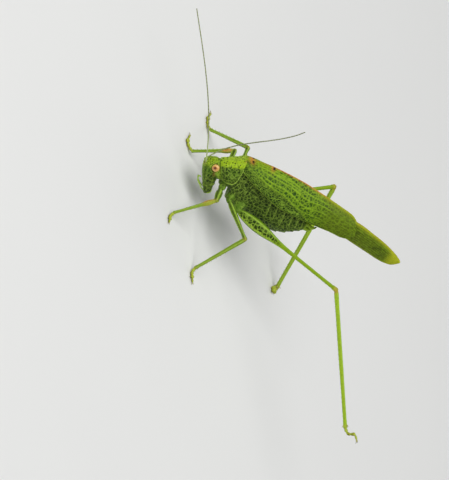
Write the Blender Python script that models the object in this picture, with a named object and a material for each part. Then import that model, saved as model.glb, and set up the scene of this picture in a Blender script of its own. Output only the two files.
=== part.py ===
"""Long-horned grasshopper, a male Phaneroptera nana, as a still model in life size.

The insect stands on five feet with its head low, its tail high and its left side rolled up.
The left hind leg is stretched out behind and is held clear of the floor.

Three frames are used, all in millimetres until a mesh is written in metres:
  floor frame    +Z up, the animal faces -Y and its left side is +X; the legs and feelers lie here
  body frame     X to the animal's left, Y towards the tail, Z towards its back
  forebody frame the body frame tipped up about X; head and prothorax are built in it
"""
import math

import bmesh
import bpy
from mathutils import Matrix, Vector

MM = 0.001              # metres in a millimetre
GAP = 0.14              # clear gap between neighbouring solids
RING_SIDES = 20         # corners round head, thorax and abdomen
LIMB_SIDES = 8          # corners round legs, feelers and palps

# Stance: where the head's centre is above the floor and how the body lies
HEAD_CENTRE = Vector((-1.2, 0.3, 4.05))
BODY_YAW = -3.5         # degrees
BODY_PITCH = 35.0       # tail above head
BODY_ROLL = 22.0        # left side up
FOREBODY_TIP = 29.0     # head and prothorax against the wings' line

# Head, down from the crown: height, centre, half width, depth behind, depth in front
HEAD_SECTIONS = (
    (1.00, -0.20, 0.34, 0.38, 0.38), (0.70, -0.25, 0.78, 0.72, 0.78), (0.20, -0.30, 0.98, 0.92, 0.98),
    (-0.60, -0.32, 1.02, 0.94, 1.05), (-1.50, -0.40, 0.98, 0.90, 0.96), (-2.30, -0.55, 0.84, 0.80, 0.74),
    (-3.00, -0.70, 0.60, 0.60, 0.44), (-3.38, -0.68, 0.34, 0.30, 0.30))
EYE_CENTRE = Vector((0.92, 0.21, 0.11))
EYE_RADII = (0.40, 0.47, 0.47)

# Prothorax, from the neck to the wings: place, centre, half width, rise, drop
PROTHORAX_SECTIONS = (
    (0.88, -0.45, 0.95, 1.15, 1.25), (1.30, -0.60, 1.22, 1.37, 1.85), (2.00, -0.70, 1.40, 1.50, 2.35),
    (2.80, -0.70, 1.44, 1.53, 2.60), (3.60, -0.70, 1.40, 1.56, 2.70), (4.60, -0.70, 1.30, 1.50, 2.60))
PROTHORAX_END = 2.95    # in the body frame, where the shield's hind edge lies

# Thorax and abdomen in the body frame: place, centre, half width, rise, drop
THORAX_SECTIONS = (
    (3.10, -0.50, 1.28, 2.35, 2.40), (4.10, -0.50, 1.40, 2.60, 2.75), (5.20, -0.50, 1.40, 2.65, 2.95),
    (6.20, -0.60, 1.30, 2.55, 2.90))
ABDOMEN_SECTIONS = (
    (6.34, -0.70, 1.28, 2.60, 2.80), (7.90, -1.00, 1.33, 2.80, 2.70), (9.40, -1.30, 1.28, 2.60, 2.50),
    (10.80, -1.35, 1.10, 1.95, 2.00), (11.90, -1.35, 0.86, 1.25, 1.20), (12.70, -1.35, 0.50, 0.60, 0.60))
PLATE_SECTIONS = (
    (12.84, -1.62, 0.40, 0.26, 0.26), (13.20, -1.58, 0.36, 0.25, 0.27), (13.50, -1.42, 0.26, 0.20, 0.22))
CERCUS_PATH = ((0.30, 12.90, -0.82), (0.62, 13.25, -0.92), (0.62, 13.65, -0.80), (0.34, 13.90, -0.56))
CERCUS_RADIUS = 0.25

# Wings in the body frame, each line as (place, height) or (place, half width) keys. The hind wings
# are made where they stand out past the fore wings.
WING_THICKNESS = 0.50
WING_RIDGE = ((3.05, 2.74), (5.60, 3.22), (9.50, 3.34), (12.50, 3.10), (16.00, 2.68), (17.85, 2.42))
WING_FOLD = ((3.05, 2.35), (5.20, 1.86), (8.40, 1.52), (10.80, 1.10), (13.40, 1.20), (17.85, 0.95))
WING_EDGE = (
    (3.05, 1.50), (5.90, 0.62), (8.20, 0.00), (10.90, -0.12), (13.40, -0.18), (15.60, -0.12), (17.85, -0.25))
FOLD_HALF_WIDTH = ((3.05, 1.05), (4.20, 1.45), (7.00, 1.66), (10.00, 1.60), (13.40, 1.20), (17.85, 0.85))
EDGE_HALF_WIDTH = (
    (3.05, 1.42), (4.20, 1.78), (7.00, 1.96), (10.00, 1.86), (13.40, 1.26), (15.60, 1.02), (17.85, 0.80))
WING_BULGE = Vector((0.10, 0.16))   # how far the wing stands out between its ridge and its fold
TEGMEN_END = 17.85
TEGMEN_ROUNDING = 0.9   # length over which the tegmen's tip rounds off
TEGMEN_TIP_LOSS = 0.28  # share of its height that each edge loses on the way to a point
HINDWING_START = TEGMEN_END + GAP
HINDWING_END = 24.42
HINDWING_TOP = ((17.99, 2.02), (19.50, 1.80), (22.00, 1.30), (24.42, 0.45))
HINDWING_ROUNDING = 0.8
HINDWING_TIP_LOSS = 0.25
HINDWING_CHAMFER = 0.12     # height that the outer face gives up along each edge
HINDWING_LOW = ((17.99, -0.40), (20.20, -0.62), (22.30, -0.80), (23.60, -0.60), (24.42, -0.05))

# Feelers: the four control points of one cubic curve each, in the floor frame
SCAPE_LENGTH = 0.52
SCAPE_RADII = (0.25, 0.26)
FEELER_RADIUS = 0.25
FEELER_CURVES = {
    "left": ((-1.20, -1.20, 3.95), (-4.65, -4.95, 6.00), (-7.75, -9.85, 6.70), (-10.72, -14.55, 7.60)),
    "right": ((-1.85, -0.95, 3.70), (-2.55, -3.05, 8.05), (0.10, -2.20, 13.35), (0.64, -3.85, 17.94))}
FEELER_LENGTHS = ("base", "middle", "tip")

# Palps in the forebody frame, from the mouth outwards
PALP_RADIUS = 0.25
PALP_PATHS = {
    "left": ((0.50, -1.42, -3.30), (0.52, -1.72, -2.45), (0.55, -2.05, -1.75), (0.52, -1.92, -1.15)),
    "right": ((-0.50, -1.42, -3.30), (-0.52, -1.74, -2.70), (-0.56, -2.02, -2.20), (-0.54, -2.10, -1.75))}

# Legs: hips in the body frame, the left ones, with the rise from each hip to its coxa's root
HIPS = {"fore": Vector((0.95, 1.95, -1.90)), "mid": Vector((1.10, 3.30, -2.40)),
        "hind": Vector((1.22, 4.60, -2.95))}
COXA_RISES = {"fore": Vector((-0.40, 0.05, 0.80)), "mid": Vector((-0.45, 0.25, 0.95)),
              "hind": Vector((-0.50, 0.30, 1.20))}
KNEES = {
    ("fore", "left"): Vector((3.50, 1.10, 4.93)), ("mid", "left"): Vector((6.14, 5.28, 6.99)),
    ("hind", "left"): Vector((6.66, 15.52, 13.50)), ("fore", "right"): Vector((-5.02, 2.44, 4.75)),
    ("mid", "right"): Vector((-6.78, 4.11, 5.26)), ("hind", "right"): Vector((-8.79, 15.07, 10.69))}
ANKLES = {
    ("fore", "left"): Vector((5.26, -0.06, 0.52)), ("mid", "left"): Vector((8.24, 6.25, 0.52)),
    ("hind", "left"): Vector((17.52, 26.51, 11.35)), ("fore", "right"): Vector((-4.14, 0.36, 0.52)),
    ("mid", "right"): Vector((-9.36, 2.68, 0.52)), ("hind", "right"): Vector((-1.82, 22.95, 0.52))}
TARSUS_PATHS = {
    ("fore", "left"): ((5.75, -0.10, 0.20), (6.10, -0.08, 0.20), (6.80, -0.02, 0.20)),
    ("mid", "left"): ((8.68, 6.34, 0.20), (9.10, 6.52, 0.20), (9.95, 7.02, 0.20)),
    ("hind", "left"): ((17.78, 26.75, 11.37), (18.12, 27.05, 11.60), (18.25, 27.20, 12.35),
                       (18.92, 27.90, 12.43)),
    ("fore", "right"): ((-4.55, -0.02, 0.20), (-5.00, -0.50, 0.20), (-6.25, -0.35, 0.20)),
    ("mid", "right"): ((-9.85, 2.42, 0.20), (-10.74, 2.12, 0.20), (-11.97, 2.46, 0.20)),
    ("hind", "right"): ((-1.52, 22.88, 0.27), (-1.20, 22.70, 0.30), (-0.80, 22.52, 0.28))}
ANKLE_RADIUS = 0.25
TARSUS_RADIUS = 0.27
SPREAD_TARSUS = ("hind", "right")       # the foot that is seen from its end, pressed flat
SPREAD_RADII = (0.40, 0.52, 0.42)

# Leg profiles from the upper joint to the lower: fraction, half depth, half width
COXAE = {"fore": ((0.0, 0.44, 0.42), (0.6, 0.46, 0.44), (1.0, 0.36, 0.36)),
         "mid": ((0.0, 0.46, 0.44), (0.6, 0.48, 0.46), (1.0, 0.36, 0.36)),
         "hind": ((0.0, 0.60, 0.50), (0.6, 0.62, 0.52), (1.0, 0.46, 0.44))}
THIN_FEMUR = ((0.0, 0.25, 0.25), (0.15, 0.36, 0.30), (0.55, 0.32, 0.28), (1.0, 0.27, 0.26))
FORE_FEMUR = ((0.0, 0.26, 0.26), (0.15, 0.40, 0.34), (0.55, 0.37, 0.33), (1.0, 0.31, 0.30))
HIND_FEMUR = ((0.0, 0.32, 0.28), (0.06, 0.58, 0.40), (0.16, 0.74, 0.50), (0.26, 0.68, 0.46), (0.37, 0.42, 0.34),
              (0.48, 0.27, 0.26), (0.75, 0.25, 0.25), (1.0, 0.30, 0.27))
FORE_TIBIA = ((0.0, 0.26, 0.26), (0.12, 0.34, 0.33), (0.26, 0.32, 0.31), (0.36, 0.25, 0.25), (1.0, 0.25, 0.25))
PLAIN_TIBIA = ((0.0, 0.27, 0.27), (0.5, 0.25, 0.25), (1.0, 0.25, 0.25))
FEMUR_PROFILES = {"fore": FORE_FEMUR, "mid": THIN_FEMUR, "hind": HIND_FEMUR}
TIBIA_PROFILES = {"fore": FORE_TIBIA, "mid": PLAIN_TIBIA, "hind": PLAIN_TIBIA}

# Colours: red, green, blue, roughness
LEAF_GREEN = (0.16, 0.40, 0.03, 0.45)
DARK_GREEN = (0.07, 0.20, 0.03, 0.50)
WING_GREEN = (0.24, 0.46, 0.05, 0.40)
YELLOW_GREEN = (0.42, 0.55, 0.08, 0.45)
EYE_ORANGE = (0.85, 0.42, 0.20, 0.20)
FEELER_OLIVE = (0.30, 0.33, 0.16, 0.50)


def clear_scene():
    """Remove whatever the file opened with."""
    for item in list(bpy.data.objects):
        bpy.data.objects.remove(item, do_unlink=True)


def body_matrix():
    """Body frame in the floor frame, in millimetres."""
    turn = (Matrix.Rotation(math.radians(BODY_YAW), 4, "Z")
            @ Matrix.Rotation(math.radians(BODY_PITCH), 4, "X")
            @ Matrix.Rotation(math.radians(-BODY_ROLL), 4, "Y"))
    return Matrix.Translation(HEAD_CENTRE) @ turn


def forebody_matrix():
    """Forebody frame in the floor frame, in millimetres."""
    return body_matrix() @ Matrix.Rotation(math.radians(FOREBODY_TIP), 4, "X")


def in_metres(matrix):
    """The same placement with its translation in metres."""
    scaled = matrix.copy()
    scaled.translation = matrix.translation * MM
    return scaled


def painted(name, colour):
    """A plain coloured material for one object."""
    material = bpy.data.materials.new(name + "_paint")
    material.use_nodes = True
    shader = material.node_tree.nodes["Principled BSDF"]
    shader.inputs["Base Color"].default_value = (*colour[:3], 1.0)
    shader.inputs["Roughness"].default_value = colour[3]
    shader.inputs["Metallic"].default_value = 0.0
    return material


def add_object(name, mesh_data, matrix, colour):
    """Turn a bmesh in millimetres into a named, placed and coloured object."""
    bmesh.ops.scale(mesh_data, vec=(MM, MM, MM), verts=mesh_data.verts)
    bmesh.ops.recalc_face_normals(mesh_data, faces=mesh_data.faces)
    mesh = bpy.data.meshes.new(name)
    mesh_data.to_mesh(mesh)
    mesh_data.free()
    mesh.shade_smooth()
    mesh.set_sharp_from_angle(angle=math.radians(40.0))
    item = bpy.data.objects.new(name, mesh)
    bpy.context.scene.collection.objects.link(item)
    item.matrix_world = in_metres(matrix)
    mesh.materials.append(painted(name, colour))
    return item


def skin_rings(rings):
    """Join closed rings of equal length into one capped solid."""
    solid = bmesh.new()
    loops = [[solid.verts.new(point) for point in ring] for ring in rings]
    count = len(loops[0])
    for near, far in zip(loops, loops[1:]):
        for i in range(count):
            j = (i + 1) % count
            solid.faces.new((near[i], near[j], far[j], far[i]))
    solid.faces.new(reversed(loops[0]))
    solid.faces.new(loops[-1])
    return solid


def smooth_value(keys, place, column=1):
    """Value at a place on a smooth curve through keys, whose first column is the place."""
    last = len(keys) - 1
    k = max(i for i in range(last) if i == 0 or keys[i][0] <= place)
    here, there = keys[k], keys[k + 1]
    span = there[0] - here[0]
    t = min(max((place - here[0]) / span, 0.0), 1.0)

    def slope(i):
        low, high = keys[max(i - 1, 0)], keys[min(i + 1, last)]
        return (high[column] - low[column]) / (high[0] - low[0])

    start, end = here[column], there[column]
    return (start * (2 * t ** 3 - 3 * t ** 2 + 1) + end * (3 * t ** 2 - 2 * t ** 3)
            + slope(k) * span * (t ** 3 - 2 * t ** 2 + t) + slope(k + 1) * span * (t ** 3 - t ** 2))


def spread(first, last, count):
    """Evenly spaced places from first to last."""
    return [first + (last - first) * i / (count - 1) for i in range(count)]


def oval(centre, half_width, rise, drop, sides=RING_SIDES, grow=0.0):
    """Corners of an oval that is as tall above its centre as rise and below it as drop."""
    corners = []
    for i in range(sides):
        angle = 2.0 * math.pi * (i + 0.5) / sides
        height = (rise if math.sin(angle) > 0.0 else drop) + grow
        corners.append(((half_width + grow) * math.cos(angle), centre + height * math.sin(angle)))
    return corners


def body_rings(sections, count, grow=0.0):
    """Rings for a trunk piece whose sections stand across Y."""
    rings = []
    for y in spread(sections[0][0], sections[-1][0], count):
        centre, half_width, rise, drop = (smooth_value(sections, y, c) for c in (1, 2, 3, 4))
        rings.append([(x, y, z) for x, z in oval(centre, half_width, rise, drop, grow=grow)])
    return rings


def cut_by(item, cutter):
    """Cut one object by another with an exact boolean, and hide the cutter."""
    cutter.hide_render = True
    cutter.display_type = "WIRE"
    modifier = item.modifiers.new("cut_" + cutter.name, "BOOLEAN")
    modifier.operation = "DIFFERENCE"
    modifier.solver = "EXACT"
    modifier.object = cutter


def ball(radii, segments=14, rings=8):
    """A closed ellipsoid about the origin."""
    solid = bmesh.new()
    bmesh.ops.create_uvsphere(solid, u_segments=segments, v_segments=rings, radius=1.0)
    bmesh.ops.scale(solid, vec=radii, verts=solid.verts)
    return solid


def side_sign(side):
    """+1 on the animal's left, -1 on its right."""
    return 1.0 if side == "left" else -1.0


def make_head():
    """Head lofted from crown to mouth, with a socket for each eye."""
    keys = [(-height, *sizes) for height, *sizes in HEAD_SECTIONS]
    rings = []
    for drop in spread(keys[0][0], keys[-1][0], 15):
        centre, half_width, behind, front = (smooth_value(keys, drop, c) for c in (1, 2, 3, 4))
        rings.append([(x, y, -drop) for x, y in oval(centre, half_width, behind, front)])
    head = add_object("head", skin_rings(rings), forebody_matrix(), LEAF_GREEN)
    for side in ("left", "right"):
        place = Vector((side_sign(side) * EYE_CENTRE.x, EYE_CENTRE.y, EYE_CENTRE.z))
        matrix = forebody_matrix() @ Matrix.Translation(place)
        add_object("eye_" + side, ball(EYE_RADII), matrix, EYE_ORANGE)
        socket = ball([radius + GAP for radius in EYE_RADII])
        cut_by(head, add_object("socket_" + side, socket, matrix, LEAF_GREEN))


def make_prothorax():
    """Front part of the trunk under the saddle-shaped shield, ending square to the body's line."""
    solid = skin_rings(body_rings(PROTHORAX_SECTIONS, 14))
    tip = Matrix.Rotation(math.radians(FOREBODY_TIP), 4, "X")
    normal = tip.inverted() @ Vector((0.0, 1.0, 0.0))
    cut = bmesh.ops.bisect_plane(solid, geom=solid.verts[:] + solid.edges[:] + solid.faces[:], dist=1e-5,
                                 plane_co=normal * PROTHORAX_END, plane_no=normal, clear_outer=True)
    rim = [part for part in cut["geom_cut"] if isinstance(part, bmesh.types.BMEdge)]
    bmesh.ops.contextual_create(solid, geom=rim)
    return add_object("prothorax", solid, forebody_matrix(), LEAF_GREEN)


def make_trunk():
    """Wing-bearing thorax, abdomen and the small plate under the abdomen's end."""
    thorax = add_object("thorax", skin_rings(body_rings(THORAX_SECTIONS, 10)), body_matrix(), DARK_GREEN)
    add_object("abdomen", skin_rings(body_rings(ABDOMEN_SECTIONS, 16)), body_matrix(), DARK_GREEN)
    add_object("subgenital_plate", skin_rings(body_rings(PLATE_SECTIONS, 5)), body_matrix(), LEAF_GREEN)
    return thorax


def tegmen_outline(y, sign):
    """Section of one fore wing across the body: down the outside, then up the inside."""
    ridge, fold, edge = (smooth_value(line, y) for line in (WING_RIDGE, WING_FOLD, WING_EDGE))
    fold_x, edge_x = smooth_value(FOLD_HALF_WIDTH, y), smooth_value(EDGE_HALF_WIDTH, y)
    rounding = max(0.0, (y - TEGMEN_END + TEGMEN_ROUNDING) / TEGMEN_ROUNDING)
    shrink = TEGMEN_TIP_LOSS * (1.0 - math.sqrt(1.0 - 0.9 * rounding ** 2))
    ridge, edge = ridge + (edge - ridge) * shrink, edge + (ridge - edge) * shrink
    start, bend, end = Vector((GAP / 2, ridge)), Vector((fold_x, fold)), Vector((edge_x, edge))
    outer = [start, (start + bend) / 2 + WING_BULGE, bend, (bend + end) / 2, end]
    inner = []
    for i, point in enumerate(outer):
        along = (outer[min(i + 1, len(outer) - 1)] - outer[max(i - 1, 0)]).normalized()
        inward = point + Vector((along.y, -along.x)) * WING_THICKNESS
        inner.append(Vector((max(inward.x, GAP / 2), inward.y)))
    inner[0] = Vector((GAP / 2, ridge - WING_THICKNESS))
    return [(sign * p.x, y, p.y) for p in outer + inner[::-1]]


def hindwing_outline(y, sign):
    """Section of one hind wing across the body, where it stands out past the fore wing."""
    top, low = smooth_value(HINDWING_TOP, y), smooth_value(HINDWING_LOW, y)
    rounding = max(0.0, (y - HINDWING_END + HINDWING_ROUNDING) / HINDWING_ROUNDING)
    loss = HINDWING_TIP_LOSS * rounding * (top - low)
    top, low = top - loss, low + loss
    inside, outside = sign * GAP / 2, sign * (GAP / 2 + WING_THICKNESS)
    return [(inside, y, top), (outside, y, top - HINDWING_CHAMFER), (outside, y, low + HINDWING_CHAMFER),
            (inside, y, low)]


def make_wings():
    """Both leathery fore wings and, past and between them, the folded hind wings."""
    tegmen_places = spread(WING_RIDGE[0][0], TEGMEN_END - TEGMEN_ROUNDING, 12)
    tegmen_places += [TEGMEN_END - TEGMEN_ROUNDING * (1.0 - f) for f in (0.4, 0.7, 0.9, 1.0)]
    for side in ("left", "right"):
        sign = side_sign(side)
        rings = [tegmen_outline(y, sign) for y in tegmen_places]
        add_object("tegmen_" + side, skin_rings(rings), body_matrix(), WING_GREEN)
        rings = [hindwing_outline(y, sign) for y in spread(HINDWING_START, HINDWING_END, 9)]
        add_object("hindwing_" + side, skin_rings(rings), body_matrix(), YELLOW_GREEN)


def tube_rings(points, radii, sides=LIMB_SIDES):
    """Rings of round section along a path, turned as little as possible from one to the next."""
    rings, across = [], None
    for i, point in enumerate(points):
        along = (points[min(i + 1, len(points) - 1)] - points[max(i - 1, 0)]).normalized()
        across = (across or along.orthogonal()) - along * along.dot(across or along.orthogonal())
        across = across.normalized()
        other = along.cross(across)
        turns = [2.0 * math.pi * k / sides for k in range(sides)]
        rings.append([point + (across * math.cos(t) + other * math.sin(t)) * radii[i] for t in turns])
    return rings


def bezier(controls, t):
    """Point on a cubic curve."""
    p, q, r, s = (Vector(c) for c in controls)
    return p * (1 - t) ** 3 + q * 3 * t * (1 - t) ** 2 + r * 3 * t * t * (1 - t) + s * t ** 3


def make_feelers():
    """Each feeler: its thick first joint and three lengths of the long thread."""
    for side, controls in FEELER_CURVES.items():
        base = Vector(controls[0])
        heading = (Vector(controls[1]) - base).normalized()
        scape = [base, base + heading * SCAPE_LENGTH]
        add_object("scape_" + side, skin_rings(tube_rings(scape, SCAPE_RADII)), Matrix(), LEAF_GREEN)
        first = (SCAPE_LENGTH + GAP) / (3.0 * (Vector(controls[1]) - base).length)
        bounds = spread(first, 1.0, len(FEELER_LENGTHS) + 1)
        for name, start, end in zip(FEELER_LENGTHS, bounds, bounds[1:]):
            speed = (bezier(controls, end) - bezier(controls, start)).length / (end - start)
            last = end - (GAP / speed if end < 1.0 else 0.0)
            points = [bezier(controls, t) for t in spread(start, last, 8)]
            rings = tube_rings(points, [FEELER_RADIUS] * len(points), sides=6)
            add_object("antenna_%s_%s" % (side, name), skin_rings(rings), Matrix(), FEELER_OLIVE)


def make_palps_and_cerci():
    """Jointed palps before the mouth and the curved cerci at the abdomen's end."""
    for side, path in PALP_PATHS.items():
        points = [Vector(p) for p in path]
        rings = tube_rings(points, (PALP_RADIUS,) * len(points))
        add_object("palp_" + side, skin_rings(rings), forebody_matrix(), LEAF_GREEN)
        cercus = [Vector((side_sign(side) * x, y, z)) for x, y, z in CERCUS_PATH]
        rings = tube_rings(cercus, (CERCUS_RADIUS,) * len(cercus))
        add_object("cercus_" + side, skin_rings(rings), body_matrix(), LEAF_GREEN)


def limb_matrix(start, end, side_hint):
    """Placement with +Z from start to end and +Y as near as can be to side_hint."""
    along = (end - start).normalized()
    across = side_hint.cross(along).normalized()
    depth = along.cross(across)
    turn = Matrix((across, depth, along)).transposed().to_4x4()
    return Matrix.Translation(start) @ turn


def make_segment(name, start, end, profile, hint, colour, grow=0.0):
    """One straight leg segment from its flat upper end to its rounded lower one."""
    length = (end - start).length
    rings = []
    for f in sorted({key[0] for key in profile} | {0.08, 0.32, 0.65}):
        depth, width = smooth_value(profile, f, 1) + grow, smooth_value(profile, f, 2) + grow
        rings.append([(x, z, f * length) for x, z in oval(0.0, width, depth, depth, sides=LIMB_SIDES)])
    for angle in (35.0, 70.0):
        c, s = math.cos(math.radians(angle)), math.sin(math.radians(angle))
        cap = oval(0.0, width * c, depth * c, depth * c, sides=LIMB_SIDES)
        rings.append([(x, z, length + depth * s) for x, z in cap])
    return add_object(name, skin_rings(rings), limb_matrix(start, end, hint), colour)


def make_tarsus(name, path, radii):
    """Foot along its path; below the floor's level it is flattened to a sole."""
    points = [Vector(p) for p in path]
    rings = tube_rings(points, radii, sides=10)
    for ring in rings:
        for corner in ring:
            corner.z = max(corner.z, 0.0)
    add_object(name, skin_rings(rings), Matrix(), YELLOW_GREEN)


def make_leg(pair, side, neighbours):
    """Coxa in its socket, femur, tibia and tarsus of one leg."""
    name = "%s_" + pair + "_" + side
    mirror = Matrix.Diagonal((side_sign(side), 1.0, 1.0, 1.0))
    hip = body_matrix() @ mirror @ HIPS[pair]
    root = body_matrix() @ mirror @ (HIPS[pair] + COXA_RISES[pair])
    knee, ankle = KNEES[pair, side], ANKLES[pair, side]
    thigh, shin = (knee - hip).normalized(), (ankle - knee).normalized()
    coxa, femur = COXAE[pair], FEMUR_PROFILES[pair]
    make_segment(name % "coxa", root, hip, coxa, thigh, LEAF_GREEN)
    socket = make_segment(name % "socket", root, hip, coxa, thigh, LEAF_GREEN, grow=GAP)
    for neighbour in neighbours:
        cut_by(neighbour, socket)
    femur_start = hip + thigh * (coxa[-1][1] + GAP)
    make_segment(name % "femur", femur_start, knee, femur, shin, LEAF_GREEN)
    tibia_start = knee + shin * (femur[-1][1] + GAP)
    make_segment(name % "tibia", tibia_start, ankle, TIBIA_PROFILES[pair], thigh, YELLOW_GREEN)
    path = TARSUS_PATHS[pair, side]
    plain = [ANKLE_RADIUS] + [TARSUS_RADIUS] * (len(path) - 1)
    make_tarsus(name % "tarsus", path, SPREAD_RADII if (pair, side) == SPREAD_TARSUS else plain)


def settle_on_floor():
    """Hang everything under one empty and centre the whole over the floor's origin."""
    stance = bpy.data.objects.new("stance", None)
    bpy.context.scene.collection.objects.link(stance)
    solids = [item for item in bpy.data.objects if item.type == "MESH"]
    shown = [item for item in solids if not item.hide_render]
    corners = [item.matrix_world @ vertex.co for item in shown for vertex in item.data.vertices]
    middle = [(min(c[k] for c in corners) + max(c[k] for c in corners)) / 2.0 for k in (0, 1)]
    for item in solids:
        item.parent = stance
    stance.location = (-middle[0], -middle[1], 0.0)


def main():
    """Build the whole insect."""
    clear_scene()
    make_head()
    prothorax = make_prothorax()
    thorax = make_trunk()
    make_wings()
    make_feelers()
    make_palps_and_cerci()
    neighbours = {"fore": (prothorax,), "mid": (prothorax, thorax), "hind": (thorax,)}
    for pair, cut_pieces in neighbours.items():
        for side in ("left", "right"):
            make_leg(pair, side, cut_pieces)
    settle_on_floor()


main()
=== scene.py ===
"""Looks of a long-horned grasshopper, a male Phaneroptera nana, as a still model in life size.

Every piece is modelled in millimetres and written in metres when it is finished. Four frames are used:
  row frame      +Z up, the animal faces -Y and its left side is +X; finished pieces lie here
  floor frame    the row frame moved sideways; the legs' joints and the feelers are given in it
  body frame     X to the animal's left, Y towards the tail, Z towards its back
  forebody frame the body frame tipped up about X; head, shield and palps are built in it
"""

import logging
import math
from collections.abc import Callable, Sequence
from dataclasses import dataclass, field, fields
from enum import Enum
from typing import Any

import bmesh
import bpy
import numpy as np
from mathutils import Matrix, Vector
from mathutils.kdtree import KDTree


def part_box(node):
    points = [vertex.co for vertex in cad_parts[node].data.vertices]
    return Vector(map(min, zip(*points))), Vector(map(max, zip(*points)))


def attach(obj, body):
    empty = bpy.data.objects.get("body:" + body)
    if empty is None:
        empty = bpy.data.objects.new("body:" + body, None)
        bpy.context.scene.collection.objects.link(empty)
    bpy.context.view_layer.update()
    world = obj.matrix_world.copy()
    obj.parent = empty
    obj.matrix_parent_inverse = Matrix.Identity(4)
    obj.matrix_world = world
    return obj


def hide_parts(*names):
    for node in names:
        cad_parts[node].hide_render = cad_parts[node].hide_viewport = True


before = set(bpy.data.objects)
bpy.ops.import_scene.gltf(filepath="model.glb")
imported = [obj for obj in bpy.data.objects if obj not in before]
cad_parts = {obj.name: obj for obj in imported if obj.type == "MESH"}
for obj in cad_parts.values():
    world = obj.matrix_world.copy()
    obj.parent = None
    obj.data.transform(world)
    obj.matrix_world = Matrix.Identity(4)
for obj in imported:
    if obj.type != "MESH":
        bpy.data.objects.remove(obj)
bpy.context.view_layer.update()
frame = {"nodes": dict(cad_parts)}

Array = np.ndarray
Item = bpy.types.Object
Point = tuple[float, float, float]
Keys = tuple[tuple[float, ...], ...]
Line = tuple[Point, ...]
FlatLine = tuple[tuple[float, float], ...]
Growth = tuple[Array, Array, Array, float]  # base, direction, side it leans to, length

MM = 0.001  # metres in a millimetre
TURN = 2.0 * math.pi
BODY = "root"
log = logging.getLogger("grasshopper")


class Side(Enum):
    """The animal's own sides, with the sign that their X has."""

    LEFT = 1.0
    RIGHT = -1.0

    @property
    def word(self) -> str:
        """The side's name as the CAD nodes spell it."""
        return self.name.lower()

    def flip(self, places: Any) -> Array:
        """Places that are told for the left side, on this side."""
        return np.array(places, float) * (self.value, 1.0, 1.0)


class Pair(Enum):
    """The three pairs of legs."""

    FORE = "fore"
    MID = "mid"
    HIND = "hind"


class Region(Enum):
    """Stretches of the skin that are marked differently."""

    HEAD = "head"
    NECK = "neck"
    TRUNK = "trunk"
    TAIL = "tail"
    COXA = "coxa"
    FEMUR = "femur"
    TIBIA = "tibia"
    FOOT = "foot"


# ---- lines and frames


@dataclass(frozen=True)
class Profile:
    """A smooth curve through keys, whose first column is the place along it."""

    keys: Keys

    def at(self, place: Any, column: int = 1) -> Array:
        """Value at one place or at many.

        Args:
            place: where along the curve, a number or an array.
            column: which of the keys' columns to read.

        Returns:
            The value, of the same shape as place.
        """
        keys = np.array(self.keys, float)
        x, y = keys[:, 0], keys[:, column]
        slopes = np.gradient(y, x)
        slopes[1:-1] = (y[2:] - y[:-2]) / (x[2:] - x[:-2])
        k = np.clip(np.searchsorted(x, place, side="right") - 1, 0, len(x) - 2)
        span = x[k + 1] - x[k]
        t = clamped((place - x[k]) / span)
        return (y[k] * (2 * t ** 3 - 3 * t ** 2 + 1) + y[k + 1] * (3 * t ** 2 - 2 * t ** 3)
                + slopes[k] * span * (t ** 3 - 2 * t ** 2 + t) + slopes[k + 1] * span * (t ** 3 - t ** 2))

    def row(self, place: float) -> tuple[float, ...]:
        """All of the keys' columns at one place."""
        return tuple(float(self.at(place, column)) for column in range(1, len(self.keys[0])))


@dataclass(frozen=True)
class Frame:
    """A place and three axes, all in the row frame and in millimetres."""

    origin: Array
    axes: Array

    def out(self, points: Any) -> Array:
        """Points of this frame, told in the row frame."""
        return np.asarray(points, float) @ self.axes.T + self.origin

    def back(self, points: Any) -> Array:
        """Points of the row frame, told in this frame."""
        return (np.asarray(points, float) - self.origin) @ self.axes

    def turn(self, direction: Any) -> Array:
        """A direction of this frame, told in the row frame."""
        return np.asarray(direction, float) @ self.axes.T


@dataclass(frozen=True)
class Stance:
    """How the animal stands: its body slopes head down and rolls its left side up."""

    yaw: float = -3.5
    pitch: float = 35.0
    roll: float = 22.0
    forebody_tip: float = 29.0
    head_centre: Point = (-1.2, 0.3, 4.05)  # in the floor frame
    eyes_middle: Point = (0.0, 0.21, 0.11)  # halfway between the eyes, in the forebody frame

    def turned(self, tip: float = 0.0) -> Array:
        """Axes of the body frame, tipped up about its X.

        Args:
            tip: how many degrees.

        Returns:
            The axes as columns, in the row frame.
        """
        turn = (Matrix.Rotation(math.radians(self.yaw), 3, "Z")
                @ Matrix.Rotation(math.radians(self.pitch), 3, "X")
                @ Matrix.Rotation(math.radians(-self.roll), 3, "Y")
                @ Matrix.Rotation(math.radians(tip), 3, "X"))
        return np.array(turn)

    def head_place(self) -> Array:
        """Work out the head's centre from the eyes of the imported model.

        Returns:
            The centre in the row frame.
        """
        centres = [sum(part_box("eye_" + side.word), Vector()) / 2.0 for side in Side]
        middle = np.array(sum(centres, Vector()) / 2.0) / MM
        return middle - self.turned(self.forebody_tip) @ np.array(self.eyes_middle)

    def body(self) -> Frame:
        """The body frame."""
        return Frame(self.head_place(), self.turned())

    def forebody(self) -> Frame:
        """The forebody frame."""
        return Frame(self.head_place(), self.turned(self.forebody_tip))

    def floor(self) -> Frame:
        """The floor frame."""
        return Frame(self.head_place() - np.array(self.head_centre), np.eye(3))


STANCE = Stance()
BODY_FRAME = STANCE.body()
FOREBODY = STANCE.forebody()
FLOOR_FRAME = STANCE.floor()


def spread(first: float, last: float, count: int) -> Array:
    """Evenly spaced places from first to last."""
    return np.linspace(first, last, count)


def unit(direction: Any) -> Array:
    """The same direction, one millimetre long."""
    vector = np.asarray(direction, float)
    return vector / np.linalg.norm(vector)


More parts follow.
